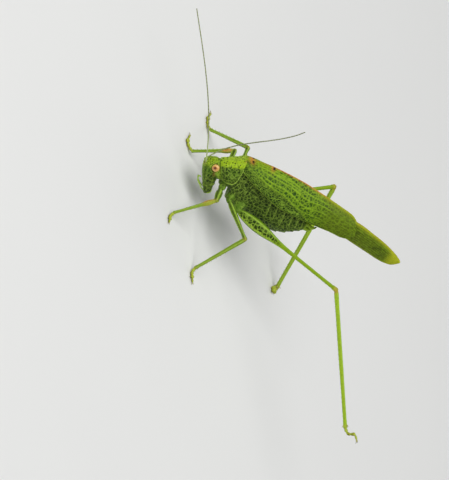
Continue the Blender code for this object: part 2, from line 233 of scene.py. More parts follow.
def rise(value: Any, low: float, high: float) -> Array:
    """A smooth step from 0 at low to 1 at high."""
    t = clamped((np.asarray(value, float) - low) / (high - low))
    return t * t * (3.0 - 2.0 * t)


def clamped(value: Any) -> Array:
    """The value, held between 0 and 1."""
    return np.clip(value, 0.0, 1.0)


def fall(value: Any, low: float, high: float) -> Array:
    """A smooth step from 1 at low to 0 at high."""
    return 1.0 - rise(value, low, high)


def near(distance: Any, width: float) -> Array:
    """A smooth ridge: 1 where the distance is 0, and gone past about two widths."""
    return np.exp(-(np.asarray(distance, float) / width) ** 2)


def path_distance(points: Array, path: FlatLine) -> Array:
    """Measure how far flat points lie from a bent line.

    Args:
        points: one flat point in each row.
        path: the line's corners.

    Returns:
        One distance for each point.
    """
    best = np.inf
    bends = np.array(path, float)
    for a, b in zip(bends, bends[1:]):
        along = b - a
        t = clamped(((points - a) @ along) / (along @ along))
        best = np.minimum(best, np.linalg.norm(points - a - t[:, None] * along, axis=1))
    return best


def smooth_path(controls: Sequence[Any], count: int) -> Array:
    """Round a line off and read points on it, evenly spaced.

    Args:
        controls: points that the line goes through.
        count: how many points to give.

    Returns:
        One point in each row.
    """
    points = np.array(controls, float)
    steps = np.concatenate([[0.0], np.cumsum(np.linalg.norm(np.diff(points, axis=0), axis=1))])
    keys = tuple(tuple([s, *p]) for s, p in zip(steps, points))
    line = Profile(keys)
    return np.stack([line.at(spread(0.0, steps[-1], count), c) for c in (1, 2, 3)], axis=1)


def bezier(controls: Sequence[Point], t: Array) -> Array:
    """Points on a cubic curve at places from 0 to 1."""
    weights = ((1 - t) ** 3, 3 * t * (1 - t) ** 2, 3 * t * t * (1 - t), t ** 3)
    return np.stack(weights, axis=1) @ np.array(controls, float)


def oval(centre: float, half_width: float, up: float, down: float, sides: int, square: float = 2.0) -> Array:
    """Corners of a flat oval.

    Args:
        centre: its middle on the second axis.
        half_width: its half width on the first axis.
        up: how far it goes above its middle.
        down: how far it goes below.
        sides: the number of corners.
        square: 2 for an ellipse, more for squarer shoulders.

    Returns:
        One row for each corner.
    """
    angle = TURN * (np.arange(sides) + 0.5) / sides
    power = 2.0 / square
    wide = np.sign(np.cos(angle)) * np.abs(np.cos(angle)) ** power
    high = np.sign(np.sin(angle)) * np.abs(np.sin(angle)) ** power
    return np.stack([half_width * wide, centre + np.where(high > 0.0, up, down) * high], axis=1)


def tube_rings(points: Array, radii: Sequence[float], sides: int) -> list[Array]:
    """Set round rings along a path, turned as little as possible from one to the next.

    Args:
        points: the path, one point in each row.
        radii: a radius for each point.
        sides: the corners of a ring.

    Returns:
        The corners of each ring.
    """
    rings, across = [], None
    turns = TURN * np.arange(sides) / sides
    for i, point in enumerate(points):
        along = unit(points[min(i + 1, len(points) - 1)] - points[max(i - 1, 0)])
        if across is None:
            across = np.array(Vector(along).orthogonal())
        across = unit(across - along * (along @ across))
        other = np.cross(along, across)
        rings.append(point + (np.outer(np.cos(turns), across) + np.outer(np.sin(turns), other)) * radii[i])
    return rings


# ---- modelling by hand


def deselect() -> None:
    """Leave edit mode and let go of everything."""
    if bpy.context.object and bpy.context.object.mode != "OBJECT":
        bpy.ops.object.mode_set(mode="OBJECT")
    bpy.ops.object.select_all(action="DESELECT")


def pick(*items: Item) -> None:
    """Select only these pieces, with the first one active.

    Args:
        items: the pieces.
    """
    deselect()
    for item in items:
        item.select_set(True)
    bpy.context.view_layer.objects.active = items[0]


def named(name: str) -> Item:
    """Name the piece that was just added.

    Args:
        name: what to call it.

    Returns:
        The piece.
    """
    item = bpy.context.object
    item.name = item.data.name = name
    return item


def rows_of(item: Item, key: str) -> Array:
    """Read three numbers of each corner.

    Args:
        item: the piece.
        key: co for its place, or normal for the way it faces.

    Returns:
        One row for each corner.
    """
    rows = np.empty(len(item.data.vertices) * 3)
    item.data.vertices.foreach_get(key, rows)
    return rows.reshape(-1, 3)


def corners(item: Item) -> Array:
    """Places of a piece's corners, one row each."""
    return rows_of(item, "co")


def outward(item: Item) -> Array:
    """The direction in which each corner faces."""
    return rows_of(item, "normal")


def move_corners(item: Item, places: Array) -> None:
    """Put a piece's corners in new places."""
    item.data.vertices.foreach_set("co", np.ascontiguousarray(places, dtype=float).ravel())
    item.data.update()


def mark(item: Item, **marks: Any) -> None:
    """Store marks at a piece's corners.

    Args:
        item: the piece.
        marks: under each name one number for all corners, or a number or a vector for each.
    """
    for name, values in marks.items():
        size, kind, key = ((3,), "FLOAT_VECTOR", "vector") if np.ndim(values) == 2 else ((), "FLOAT", "value")
        layer = item.data.attributes.new(name, kind, "POINT")
        spread_out = np.broadcast_to(np.asarray(values, np.float32), (len(item.data.vertices), *size))
        layer.data.foreach_set(key, np.ascontiguousarray(spread_out).ravel())


def apply_modifier(item: Item, name: str, kind: str, **settings: Any) -> None:
    """Add a modifier, set it and apply it.

    Args:
        item: the piece.
        name: what to call the modifier.
        kind: its type.
        settings: its own settings.
    """
    pick(item)
    modifier = item.modifiers.new(name, kind)
    for key, value in settings.items():
        setattr(modifier, key, value)
    bpy.ops.object.modifier_apply(modifier=modifier.name)


def edit_all(item: Item, operator: Callable[..., Any], **settings: Any) -> None:
    """Run an operator on all of a piece in edit mode.

    Args:
        item: the piece.
        operator: the operator.
        settings: its own settings.
    """
    pick(item)
    bpy.ops.object.mode_set(mode="EDIT")
    bpy.ops.mesh.select_all(action="SELECT")
    operator(**settings)
    bpy.ops.object.mode_set(mode="OBJECT")


def face_out(item: Item) -> None:
    """Turn all faces of a closed piece outwards."""
    edit_all(item, bpy.ops.mesh.normals_make_consistent, inside=False)


def thicken(item: Item, thickness: float) -> None:
    """Give an open sheet its thickness, on the inner side."""
    apply_modifier(item, "wall", "SOLIDIFY", thickness=thickness, offset=-1.0, use_even_offset=True)


def join(name: str, items: Sequence[Item]) -> Item:
    """Make one piece of several.

    Args:
        name: what to call it.
        items: the pieces; they are used up.

    Returns:
        The joined piece.
    """
    pick(*items)
    if len(items) > 1:
        bpy.ops.object.join()
    return named(name)


def loft(name: str, rings: Sequence[Array]) -> Item:
    """Extrude one filled circle from ring to ring, so that a closed body follows.

    Args:
        name: what to call the piece.
        rings: the corners of each ring in the row frame, all of one length.

    Returns:
        The closed piece, with its faces pointing out.
    """
    deselect()
    bpy.ops.mesh.primitive_circle_add(vertices=len(rings[0]), fill_type="NGON", enter_editmode=True)
    item = named(name)
    for k, ring in enumerate(rings):
        if k:
            bpy.ops.mesh.extrude_region_move()
        grown = bmesh.from_edit_mesh(item.data)
        cap = next(face for face in grown.faces if face.select)
        for corner, place in zip(cap.verts, ring):
            corner.co = place
    bmesh.update_edit_mesh(item.data)
    bpy.ops.object.mode_set(mode="OBJECT")
    face_out(item)
    return item


def sheet(name: str, columns: int, rows: int, surface: Callable[[Array, Array], Array]) -> Item:
    """Lay a flat grid over a surface.

    Args:
        name: what to call the piece.
        columns: cells along the first direction.
        rows: cells along the second.
        surface: gives points from the two directions' places, each from 0 to 1.

    Returns:
        The open sheet; its marks "grain_u" and "grain_v" keep the two places.
    """
    deselect()
    bpy.ops.mesh.primitive_grid_add(x_subdivisions=columns, y_subdivisions=rows, size=2.0)
    item = named(name)
    flat = (corners(item) + 1.0) / 2.0
    move_corners(item, surface(flat[:, 0], flat[:, 1]))
    mark(item, grain_u=flat[:, 0], grain_v=flat[:, 1])
    return item


def marked(item: Item, name: str) -> Array:
    """Read a mark back.

    Args:
        item: the piece.
        name: the mark's name.

    Returns:
        The mark's value at each corner.
    """
    values = np.empty(len(item.data.vertices), np.float32)
    item.data.attributes[name].data.foreach_get("value", values)
    return values.astype(float)


def finish_piece(item: Item, material: bpy.types.Material, nodes: Sequence[str] = (),
                 crease: float = 50.0) -> None:
    """Turn a piece into metres, dress it and tie it to the frame.

    Args:
        item: the piece, in millimetres.
        material: its finish.
        nodes: the CAD nodes that it stands for.
        crease: the angle in degrees past which an edge stays sharp.
    """
    item.data.transform(Matrix.Scale(MM, 4))
    item.data.materials.clear()
    item.data.materials.append(material)
    pick(item)
    bpy.ops.object.shade_smooth_by_angle(angle=math.radians(crease))
    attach(item, BODY)
    if nodes:
        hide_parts(*nodes)
    log.info("%s: %d faces, stands for %d nodes", item.name, len(item.data.polygons), len(nodes))


# ---- shader writing


class Value:
    """A number on its way through a material; Python's operators add Math nodes."""

    def __init__(self, graph: "Graph", socket: bpy.types.NodeSocket) -> None:
        """Wrap a node's output."""
        self.graph = graph
        self.socket = socket

    def _math(self, operation: str, *inputs: Any) -> "Value":
        """One Math node on these inputs."""
        node = self.graph.node("ShaderNodeMath", {"operation": operation}, dict(enumerate(inputs)))
        return Value(self.graph, node.outputs[0])

    def __add__(self, other: Any) -> "Value":
        """Sum."""
        return self._math("ADD", self, other)

    __radd__ = __add__

    def __sub__(self, other: Any) -> "Value":
        """Difference."""
        return self._math("SUBTRACT", self, other)

    def __rsub__(self, other: Any) -> "Value":
        """Difference, from a plain number."""
        return self._math("SUBTRACT", other, self)

    def __mul__(self, other: Any) -> "Value":
        """Product."""
        return self._math("MULTIPLY", self, other)

    __rmul__ = __mul__

    def __truediv__(self, other: Any) -> "Value":
        """Quotient."""
        return self._math("DIVIDE", self, other)

    def sine(self) -> "Value":
        """Sine of an angle in radians."""
        return self._math("SINE", self)

    def step(self, low: float, high: float) -> "Value":
        """Step smoothly from 0 at low to 1 at high.

        Args:
            low: where the step starts.
            high: where it ends; if it is the smaller one, the step falls.

        Returns:
            The step, from 0 to 1.
        """
        node = self.graph.node("ShaderNodeMapRange", {"interpolation_type": "SMOOTHSTEP"},
                               {0: self, 1: min(low, high), 2: max(low, high),
                                3: float(low > high), 4: float(low < high)})
        return Value(self.graph, node.outputs[0])


@dataclass
class Graph:
    """One material's nodes round a Principled shader."""

    name: str
    material: bpy.types.Material = field(init=False)
    shader: bpy.types.Node = field(init=False)
    place: Any = field(init=False)

    def __post_init__(self) -> None:
        """Start the material and a reading of object places in millimetres."""
        self.material = bpy.data.materials.new(self.name)
        self.material.use_nodes = True
        self.shader = self.material.node_tree.nodes["Principled BSDF"]
        source = self.node("ShaderNodeTexCoord").outputs["Object"]
        scale = (1.0 / MM,) * 3
        self.place = self.node("ShaderNodeVectorMath", {"operation": "MULTIPLY"},
                               {0: source, 1: scale}).outputs[0]

    def node(self, kind: str, settings: dict[str, Any] | None = None,
             inputs: dict[Any, Any] | None = None) -> bpy.types.Node:
        """Add one node.

        Args:
            kind: the node's type.
            settings: its own settings, made first.
            inputs: a number, a colour, a socket or a Value for each of its sockets.

        Returns:
            The node.
        """
        tree = self.material.node_tree
        node = tree.nodes.new(kind)
        for key, value in (settings or {}).items():
            setattr(node, key, value)
        for key, value in (inputs or {}).items():
            source = value.socket if isinstance(value, Value) else value
            if isinstance(source, bpy.types.NodeSocket):
                tree.links.new(source, node.inputs[key])
            else:
                node.inputs[key].default_value = source
        return node

    def read(self, name: str) -> Value:
        """A number that the mesh holds for each corner."""
        return Value(self, self.node("ShaderNodeAttribute", {"attribute_name": name}).outputs["Fac"])

    def read_vector(self, name: str) -> bpy.types.NodeSocket:
        """A vector that the mesh holds for each corner."""
        return self.node("ShaderNodeAttribute", {"attribute_name": name}).outputs["Vector"]

    def noise(self, scale: float, detail: float = 3.0, vector: Any = None) -> Value:
        """Cloudy noise about 0.5, with so many lumps in a millimetre."""
        settings = {"Vector": vector or self.place, "Scale": scale, "Detail": detail}
        return Value(self, self.node("ShaderNodeTexNoise", None, settings).outputs[0])

    def cells(self, scale: float, feature: str = "F1", vector: Any = None, random: float = 1.0) -> Value:
        """Distances in a pattern of cells, with so many cells in a millimetre."""
        settings = {"Vector": vector or self.place, "Scale": scale, "Randomness": random}
        return Value(self, self.node("ShaderNodeTexVoronoi", {"feature": feature}, settings).outputs[0])

    def blend(self, mask: Any, first: Any, second: Any) -> bpy.types.NodeSocket:
        """Mix two colours by a mask.

        Args:
            mask: a number or a Value.
            first: the colour where the mask is 0.
            second: the colour where it is 1.

        Returns:
            The mixed colour's socket.
        """
        first, second = ((*c, 1.0) if isinstance(c, tuple) and len(c) == 3 else c for c in (first, second))
        node = self.node("ShaderNodeMix", {"data_type": "RGBA"}, {0: mask, 6: first, 7: second})
        return node.outputs[2]

    def layers(self, colour: Any, *coats: tuple[Any, Any]) -> Any:
        """Lay coats of colour over each other.

        Args:
            colour: the lowest colour.
            coats: a mask and a colour for each coat, from the lowest up.

        Returns:
            The socket of the colour that shows.
        """
        for mask, tone in coats:
            colour = self.blend(mask, colour, tone)
        return colour

    def dress(self, colour: Any, roughness: Any, height: Value | None = None, lift: float = 0.01,
              **constants: float) -> bpy.types.Material:
        """Feed the shader and return the material.

        Args:
            colour: the base colour's socket.
            roughness: a Value or a number.
            height: a relief from 0 to 1.
            lift: the relief's real height in millimetres.
            constants: plain numbers for the shader's other sockets, with _ for each space.

        Returns:
            The material.
        """
        tree, inputs = self.material.node_tree, self.shader.inputs
        tree.links.new(colour, inputs["Base Color"])
        if isinstance(roughness, Value):
            tree.links.new(roughness.socket, inputs["Roughness"])
        else:
            inputs["Roughness"].default_value = roughness
        if height is not None:
            bump = self.node("ShaderNodeBump", None,
                             {"Strength": 1.0, "Distance": lift * MM, "Height": height})
            tree.links.new(bump.outputs[0], inputs["Normal"])
        for key, value in constants.items():
            inputs[key.replace("_", " ")].default_value = value
        return self.material


# ---- finishes


@dataclass(frozen=True)
class Cuticle:
    """Green skin with fine dark dots; the mesh says where it is pale, dark, rusty, yellow or wrinkled, and
    its dark, pale and yellow marks also carry painted shade and painted light.
    """

    name: str
    leaf: Point = (0.056, 0.165, 0.003)
    # deep: dark green of the mottling, the net and the dark mark, which also paints shade
    deep: Point = (0.005, 0.02, 0.001)
    # light: pale green of keels, edges, wrinkles and net strands, which through the pale mark also paints
    # light
    light: Point = (0.43, 0.64, 0.085)
    yellow: Point = (0.33, 0.5, 0.01)
    rust: Point = (0.58, 0.21, 0.065)
    dot: Point = (0.006, 0.016, 0.001)
    dots_in_a_millimetre: float = 3.7
    net_in_a_millimetre: float = 2.5
    wrinkle_turn: Point = (0.55, 0.35, 0.25)

    def wrinkles(self, graph: Graph) -> Value:
        """Draw fine ridges that run across the flanks.

        Args:
            graph: the material's graph.

        Returns:
            1 on a ridge, 0 beside it.
        """
        turned = graph.node("ShaderNodeMapping", None, {
            "Vector": graph.place, "Rotation": self.wrinkle_turn, "Scale": (1.0, 3.4, 0.8)}).outputs[0]
        return (graph.noise(1.7, 2.5, turned).step(0.5, 0.62) * 0.75
                + graph.cells(1.9, "DISTANCE_TO_EDGE", turned).step(0.1, 0.02) * 0.6)

    def material(self) -> bpy.types.Material:
        """Build the material.

        Returns:
            The material.
        """
        graph = Graph(self.name)
        cloud, patch = graph.noise(0.8, 2.0), graph.noise(3.2, 3.0)
        grain = graph.noise(11.0, 4.0)
        hatch = self.wrinkles(graph) * graph.read("hatch")
        net, dots = graph.read("net"), graph.read("dots")
        strands = graph.cells(self.net_in_a_millimetre, "DISTANCE_TO_EDGE", random=0.95).step(0.14, 0.07)
        to_dot = (graph.cells(self.dots_in_a_millimetre, random=0.8)
                  + 0.16 * (graph.noise(14.0, 2.0) - 0.5) - 0.22 * graph.noise(2.3, 1.0))
        dotted = to_dot.step(0.25, 0.12) * dots
        halo = to_dot.step(0.46, 0.27) * (1.0 - dotted) * dots * 0.2
        colour = graph.layers(
            self.leaf,
            (cloud.step(0.38, 0.68) * 0.35 + patch.step(0.45, 0.7) * 0.4, self.deep),
            # yellow mark: yellow tone, and painted light on the neck under the shield's front edge
            (graph.read("yellow") * (0.75 + 0.45 * patch), self.yellow),
            # dark mark: the skin's dark pattern, and painted shade on the lower face, the trunk and the
            # shield's side lobes
            (graph.read("dark") * (0.7 + 0.5 * patch), self.deep),
            (net * (1.0 - strands) * 0.94, self.deep),
            (net * strands * (1.05 * patch - 0.15), self.light),
            (hatch * 0.22, self.light),
            # pale mark: pale edges and keels, and painted light on the neck under the shield's front edge
            (graph.read("pale") * (0.7 + 0.5 * grain), self.light),
            (graph.read("rust") * (0.45 + 0.9 * patch), self.rust),
            (halo, self.light),
            (dotted, self.dot))
        pits = graph.cells(16.0)
        height = 0.5 - 0.5 * dotted + 0.2 * pits + 0.25 * grain + 0.9 * hatch + 0.5 * net * strands
        return graph.dress(colour, 0.38 + 0.26 * grain + 0.1 * dotted, height, 0.02,
                           Specular_IOR_Level=0.12)


@dataclass(frozen=True)
class WingLeather:
    """Leathery wing with a net of pale veins over green cells; its front and shade marks paint shade."""

    name: str
    cell: Point = (0.028, 0.084, 0.002)
    # cell_dark: dark cells of the mottling, and painted shade through the front and shade marks
    cell_dark: Point = (0.006, 0.024, 0.001)
    vein: Point = (0.29, 0.48, 0.016)
    vein_front: Point = (0.23, 0.38, 0.03)
    yellow: Point = (0.4, 0.42, 0.01)
    rust: Point = (0.62, 0.24, 0.045)
    spot: Point = (0.012, 0.006, 0.003)
    wide_net: float = 3.1  # cells in a millimetre between the main veins
    fine_net: float = 3.8  # cells in a millimetre in the front field

    def net(self, graph: Graph, cells: float, line: float) -> Value:
        """A net over the wing, 1 on its lines, with so many cells in a millimetre."""
        grain = graph.read_vector("grain")
        return graph.cells(cells, "DISTANCE_TO_EDGE", grain, 0.85).step(line, 0.25 * line)

    def material(self) -> bpy.types.Material:
        """Build the material.

        Returns:
            The material.
        """
        graph = Graph(self.name)
        front = graph.read("front")
        cloud, patch = graph.noise(0.7, 2.0), graph.noise(3.5, 3.0)
        grain = graph.noise(9.0, 4.0)
        wide, fine = self.net(graph, self.wide_net, 0.14), self.net(graph, self.fine_net, 0.13)
        back = wide + 0.35 * fine * (1.0 - wide)
        fade = graph.read("fade")
        colour = graph.layers(
            self.cell,
            (cloud.step(0.38, 0.7) * 0.35 + patch.step(0.4, 0.75) * 0.3, self.cell_dark),
            # painted shade: the fore wing's front field, which hangs down the flank, is darkened; on the hind
            # wing this mark darkens a band below its middle
            (front * 0.85, self.cell_dark),
            (graph.read("yellow") * (0.55 + 0.45 * fade), self.yellow),
            (back * (1.0 - front) * (0.8 - 0.45 * fade) * (0.4 + 0.7 * patch), self.vein),
            ((wide * 0.35 + fine * 0.7) * front * (0.5 + 0.7 * patch), self.vein_front),
            (graph.read("vein") * 0.8, self.vein),
            (graph.read("yellow") * 0.4, self.yellow),
            (graph.read("shade"), self.cell_dark),
            (graph.read("rust") * (0.65 + 0.6 * patch), self.rust),
            (graph.read("spot"), self.spot))
        height = 0.6 * back * (1.0 - front) + 0.6 * fine * front + 0.15 * grain
        return graph.dress(colour, 0.4 + 0.24 * grain, height, 0.028, Specular_IOR_Level=0.14)


@dataclass(frozen=True)
class EyeFacets:
    """Glossy peach eye with fine facets and a dark false pupil."""

    name: str
    rim: Point = (0.33, 0.15, 0.03)
    peach: Point = (0.86, 0.56, 0.17)
    amber: Point = (0.64, 0.235, 0.022)
    pupil: Point = (0.13, 0.014, 0.004)

    def material(self) -> bpy.types.Material:
        """Build the material.

        Returns:
            The material.
        """
        graph = Graph(self.name)
        grain = graph.noise(6.0)
        wobble = graph.read("away") + 0.7 * (graph.noise(2.1) - 0.5)
        colour = graph.layers(self.peach, (wobble.step(0.92, 1.3), self.rim),
                              (wobble.step(0.98, 0.36) * 0.8, self.amber),
                              (wobble.step(0.44, 0.2) * 0.95, self.pupil))
        facets = graph.cells(22.0, random=0.25)
        return graph.dress(colour, 0.16 + 0.1 * grain, 1.0 - facets, 0.006, Coat_Weight=0.4,
                           Specular_IOR_Level=0.6)


@dataclass(frozen=True)
class Thread:
    """Olive feeler with darker rings, paler towards its base."""

    name: str
    olive: Point = (0.3, 0.34, 0.15)
    ring: Point = (0.105, 0.105, 0.04)
    base: Point = (0.37, 0.45, 0.17)
    rings_in_a_millimetre: float = 2.6

    def material(self) -> bpy.types.Material:
        """Build the material.

        Returns:
            The material.
        """
        graph = Graph(self.name)
        along = graph.read("along")
        wave = (along * (self.rings_in_a_millimetre * TURN)).sine()
        grain = graph.noise(12.0)
        colour = graph.layers(self.olive, (wave.step(0.35, 0.9) * 0.8, self.ring),
                              (along.step(4.4, 1.4), self.base))
        return graph.dress(colour, 0.45 + 0.2 * grain, grain, 0.008)


@dataclass(frozen=True)
class Horn:
    """Hard amber of spines and claws, darker at the points."""

    name: str
    amber: Point = (0.42, 0.4, 0.06)
    point: Point = (0.06, 0.025, 0.01)

    def material(self) -> bpy.types.Material:
        """Build the material.

        Returns:
            The material.
        """
        graph = Graph(self.name)
        grain = graph.noise(8.0)
        colour = graph.layers(self.amber, (graph.read("tip").step(0.45, 0.95), self.point),
                              (0.25 * grain, self.point))
        return graph.dress(colour, 0.28 + 0.15 * grain, grain, 0.004)


@dataclass(frozen=True)
class PaleFloor:
    """Matt paper-like floor."""

    name: str
    tone: Point = (0.8, 0.8, 0.78)
    shade: Point = (0.76, 0.76, 0.745)

    def material(self) -> bpy.types.Material:
        """Build the material.

        Returns:
            The material.
        """
        graph = Graph(self.name)
        colour = graph.blend(graph.noise(0.02), self.tone, self.shade)
        return graph.dress(colour, 0.85)


# ---- skin


@dataclass
class Marks:
    """What the skin carries at some corners: relief in millimetres, and colours from 0 to 1; dark also paints
    shade, and pale and yellow paint light, in places.
    """

    relief: Array | float = 0.0
    pale: Array | float = 0.0
    dark: Array | float = 0.0
    rust: Array | float = 0.0
    yellow: Array | float = 0.0
    dots: Array | float = 0.6
    hatch: Array | float = 0.0
    net: Array | float = 0.0


MARK_NAMES = tuple(item.name for item in fields(Marks))


@dataclass
class Stretch:
    """One stretch of the skin: its rings, the frame it is marked in and what it is."""

    region: Region
    frame: Frame
    rings: list[Array]
    pair: Pair | None = None
    length: float = 1.0

    def placed(self) -> list[Array]:
        """The rings in the row frame."""
        return [self.frame.out(ring) for ring in self.rings]


@dataclass(frozen=True)
class Head:
    """Long oval head with its eye sockets and mouthparts, in the forebody frame."""

    sections: Keys = (  # depth under the frame, centre, half width, behind, in front
        (-1.02, -0.24, 0.28, 0.36, 0.34), (-0.9, -0.24, 0.52, 0.58, 0.56),
        (-0.7, -0.25, 0.78, 0.8, 0.78), (-0.2, -0.3, 0.96, 1.0, 0.98),
        (0.6, -0.32, 1.0, 0.98, 1.03), (1.5, -0.4, 0.96, 0.82, 0.92),
        (2.1, -0.5, 0.86, 0.66, 0.78), (2.7, -0.62, 0.66, 0.46, 0.5), (3.2, -0.7, 0.4, 0.28, 0.3))
    neck: Keys = (  # place, centre, half width, rise, drop
        (-0.3, -0.45, 0.6, 1.2, 0.8), (0.4, -0.48, 0.96, 1.33, 1.15), (0.9, -0.5, 1.0, 1.29, 1.25),
        (1.5, -0.6, 1.05, 1.25, 1.3))
    labrum: Keys = (
        (2.02, -1.12, 0.5, 0.16, 0.12), (2.2, -1.12, 0.52, 0.18, 0.17), (2.6, -1.08, 0.47, 0.18, 0.17),
        (2.72, -1.06, 0.43, 0.16, 0.12), (2.84, -1.04, 0.45, 0.18, 0.18), (3.2, -1.0, 0.42, 0.18, 0.2),
        (3.46, -0.96, 0.28, 0.12, 0.14), (3.52, -0.95, 0.14, 0.06, 0.07))
    fastigium: Line = ((0.0, -0.3, 0.72), (0.0, -0.78, 0.86), (0.0, -1.13, 0.76))
    fastigium_radii: tuple[float, ...] = (0.34, 0.22, 0.12)
    jaw: Line = ((0.52, -0.74, -2.05), (0.54, -0.8, -2.55), (0.4, -0.84, -3.0), (0.14, -0.9, -3.42))
    jaw_radii: tuple[float, ...] = (0.3, 0.34, 0.28, 0.12)
    lower_lip: Line = ((0.34, -0.28, -2.25), (0.3, -0.44, -2.8), (0.16, -0.6, -3.36))
    lip_radii: tuple[float, ...] = (0.26, 0.25, 0.13)
    feeler_roots: Point = (0.36, -1.08, 0.6)
    eye: Point = (0.92, 0.21, 0.11)
    eye_width: float = 0.47  # half the width of an eye's socket, seen from the side
    eye_seam: FlatLine = ((-0.02, -0.42), (-0.26, -1.1), (-0.5, -1.7), (-0.58, -2.1))
    cheek_seam: FlatLine = ((0.5, -0.1), (0.5, -0.6), (0.36, -1.5), (0.1, -2.1))
    jaw_seam: FlatLine = ((-1.1, -1.98), (-0.62, -2.1), (-0.2, -2.02), (0.1, -2.15))
    brow: FlatLine = ((-0.38, 0.42), (-0.7, 0.02), (-0.8, -0.6), (-0.98, -1.6))
    eye_smear: FlatLine = ((0.05, -0.45), (0.02, -0.75))
    lip_depths: tuple[float, ...] = (2.04, 2.72)
    rim_height: float = 0.13
    socket_depth: float = 0.07
    seam_depth: float = 0.085

    def stretches(self) -> list[Stretch]:
        """Lay out skull, neck, the small peak between the feelers, lips and jaws.

        Returns:
            The head's stretches of skin.
        """
        parts = [(Region.HEAD, section_rings(self.sections, 30, 40, level=True)),
                 (Region.NECK, section_rings(self.neck, 8, 32)),
                 (Region.HEAD, fat_path(self.fastigium, self.fastigium_radii, 7, 16)),
                 (Region.HEAD, section_rings(self.labrum, 18, 28, level=True))]
        for side in Side:
            for path, radii in ((self.jaw, self.jaw_radii), (self.lower_lip, self.lip_radii)):
                parts.append((Region.HEAD, fat_path(side.flip(path), radii, 12, 18)))
        return [Stretch(region, FOREBODY, rings) for region, rings in parts]

    def marks(self, points: Array) -> Marks:
        """Sockets, seams and colours of the head, with painted shade on its lower face.

        Args:
            points: corners in the forebody frame.

        Returns:
            Their marks.
        """
        across, along, up = np.abs(points[:, 0]), points[:, 1], points[:, 2]
        side = np.stack([along, up], axis=1)
        face = rise(-along - 0.35 * across, 0.55, 0.8)
        cheek = 1.0 - face
        to_eye = np.hypot(along - self.eye[1], up - self.eye[2]) / self.eye_width
        beside = rise(across, 0.35, 0.6)
        root = np.linalg.norm(np.stack([across, along, up], axis=1) - np.array(self.feeler_roots), axis=1)
        below_eye, behind_cheek, jaw, brow, smear = (path_distance(side, path) for path in (
            self.eye_seam, self.cheek_seam, self.jaw_seam, self.brow, self.eye_smear))
        upper_lip, lower_lip = self.lip_depths
        seams = clamped(np.maximum.reduce([
            near(below_eye, 0.065) * cheek, 0.9 * near(behind_cheek, 0.07) * cheek,
            near(jaw, 0.065) * beside, near(up + upper_lip - 0.25 * across, 0.06) * face,
            near(up + lower_lip - 0.1 * across, 0.06) * face]))
        socket = near(to_eye - 1.02, 0.08) * beside
        rim = near(to_eye - 1.2, 0.13) * beside
        collar = near(root - 0.3, 0.07)
        folds = np.sin(11.0 * up + 5.0 * along) * rise(-up, 0.8, 1.4) * rise(across, 0.5, 0.8) * cheek
        hind_cheek = rise(along + 0.45 * up, -0.95, -0.45) * rise(-up, 0.3, 0.9)
        return Marks(
            relief=self.rim_height * rim - self.socket_depth * socket - self.seam_depth * seams
            + 0.05 * collar + 0.016 * folds + 0.05 * near(brow, 0.1) * beside
            - 0.04 * near(across, 0.06) * rise(up, 0.2, 0.7) + 0.04 * near(below_eye - 0.2, 0.1) * cheek
            + 0.05 * near(behind_cheek - 0.16, 0.09) * cheek,
            pale=clamped(
                0.42 * rim + 0.45 * near(brow, 0.05) * beside + 0.35 * near(across - 0.5, 0.08) * face
                + 0.75 * near(across, 0.22) * face + 0.6 * collar + 0.25 * rise(folds, 0.4, 1.0)
                + 0.35 * near(jaw - 0.11, 0.05) * beside
                + 0.3 * near(behind_cheek - 0.1, 0.05) * cheek) * (1.0 - 0.6 * hind_cheek),
            # painted shade: the face and cheeks grow darker towards the bottom, where the lower face lies in
            # shade; the lower rear of the cheek is darker too
            dark=clamped(
                1.05 * rise(-up, 0.4, 1.4) * cheek * (1.0 - 0.3 * rise(-up, 2.3, 2.9))
                + 0.55 * rise(-up, 0.7, 2.0) + 0.85 * seams + 0.9 * socket + 0.6 * hind_cheek),
            rust=clamped(0.3 * near(root - 0.1, 0.18) + 0.3 * near(smear, 0.16) * beside),
            yellow=clamped(rise(up, 0.1, 0.6) + 0.2 * face),
            dots=0.5 + 0.4 * rise(up, 0.2, 0.6),
            hatch=0.3 * cheek * rise(-up, 0.2, 1.2),
            net=clamped((0.7 * cheek * rise(-up, -0.1, 0.7) + 0.5 * face + 0.45 * rise(up, 0.0, 0.5))
                        * (1.0 - 0.5 * hind_cheek)))


def fat_path(controls: Sequence[Point], radii: Sequence[float], count: int, sides: int) -> list[Array]:
    """Round rings along a smooth line, with a radius at each of its controls."""
    thickness = Profile(tuple((float(k), r) for k, r in enumerate(radii)))
    return tube_rings(smooth_path(controls, count), thickness.at(spread(0.0, len(radii) - 1.0, count)), sides)


def section_rings(keys: Keys, count: int, sides: int, grow: float = 0.0,
                  level: bool = False) -> list[Array]:
    """Set oval rings one after the other.

    Args:
        keys: place, centre, half width, rise and drop.
        count: how many rings.
        sides: the corners of a ring.
        grow: how much wider they are all round.
        level: True for level rings that follow each other downwards instead of along Y.

    Returns:
        The rings.
    """
    profile, rings = Profile(keys), []
    for place in spread(keys[0][0], keys[-1][0], count):
        centre, half, up, down = profile.row(place)
        flat = oval(centre, half + grow, up + grow, down + grow, sides)
        column = np.full((sides, 1), -place if level else place)
        rings.append(np.hstack([flat, column] if level else [flat[:, :1], column, flat[:, 1:]]))
    return rings


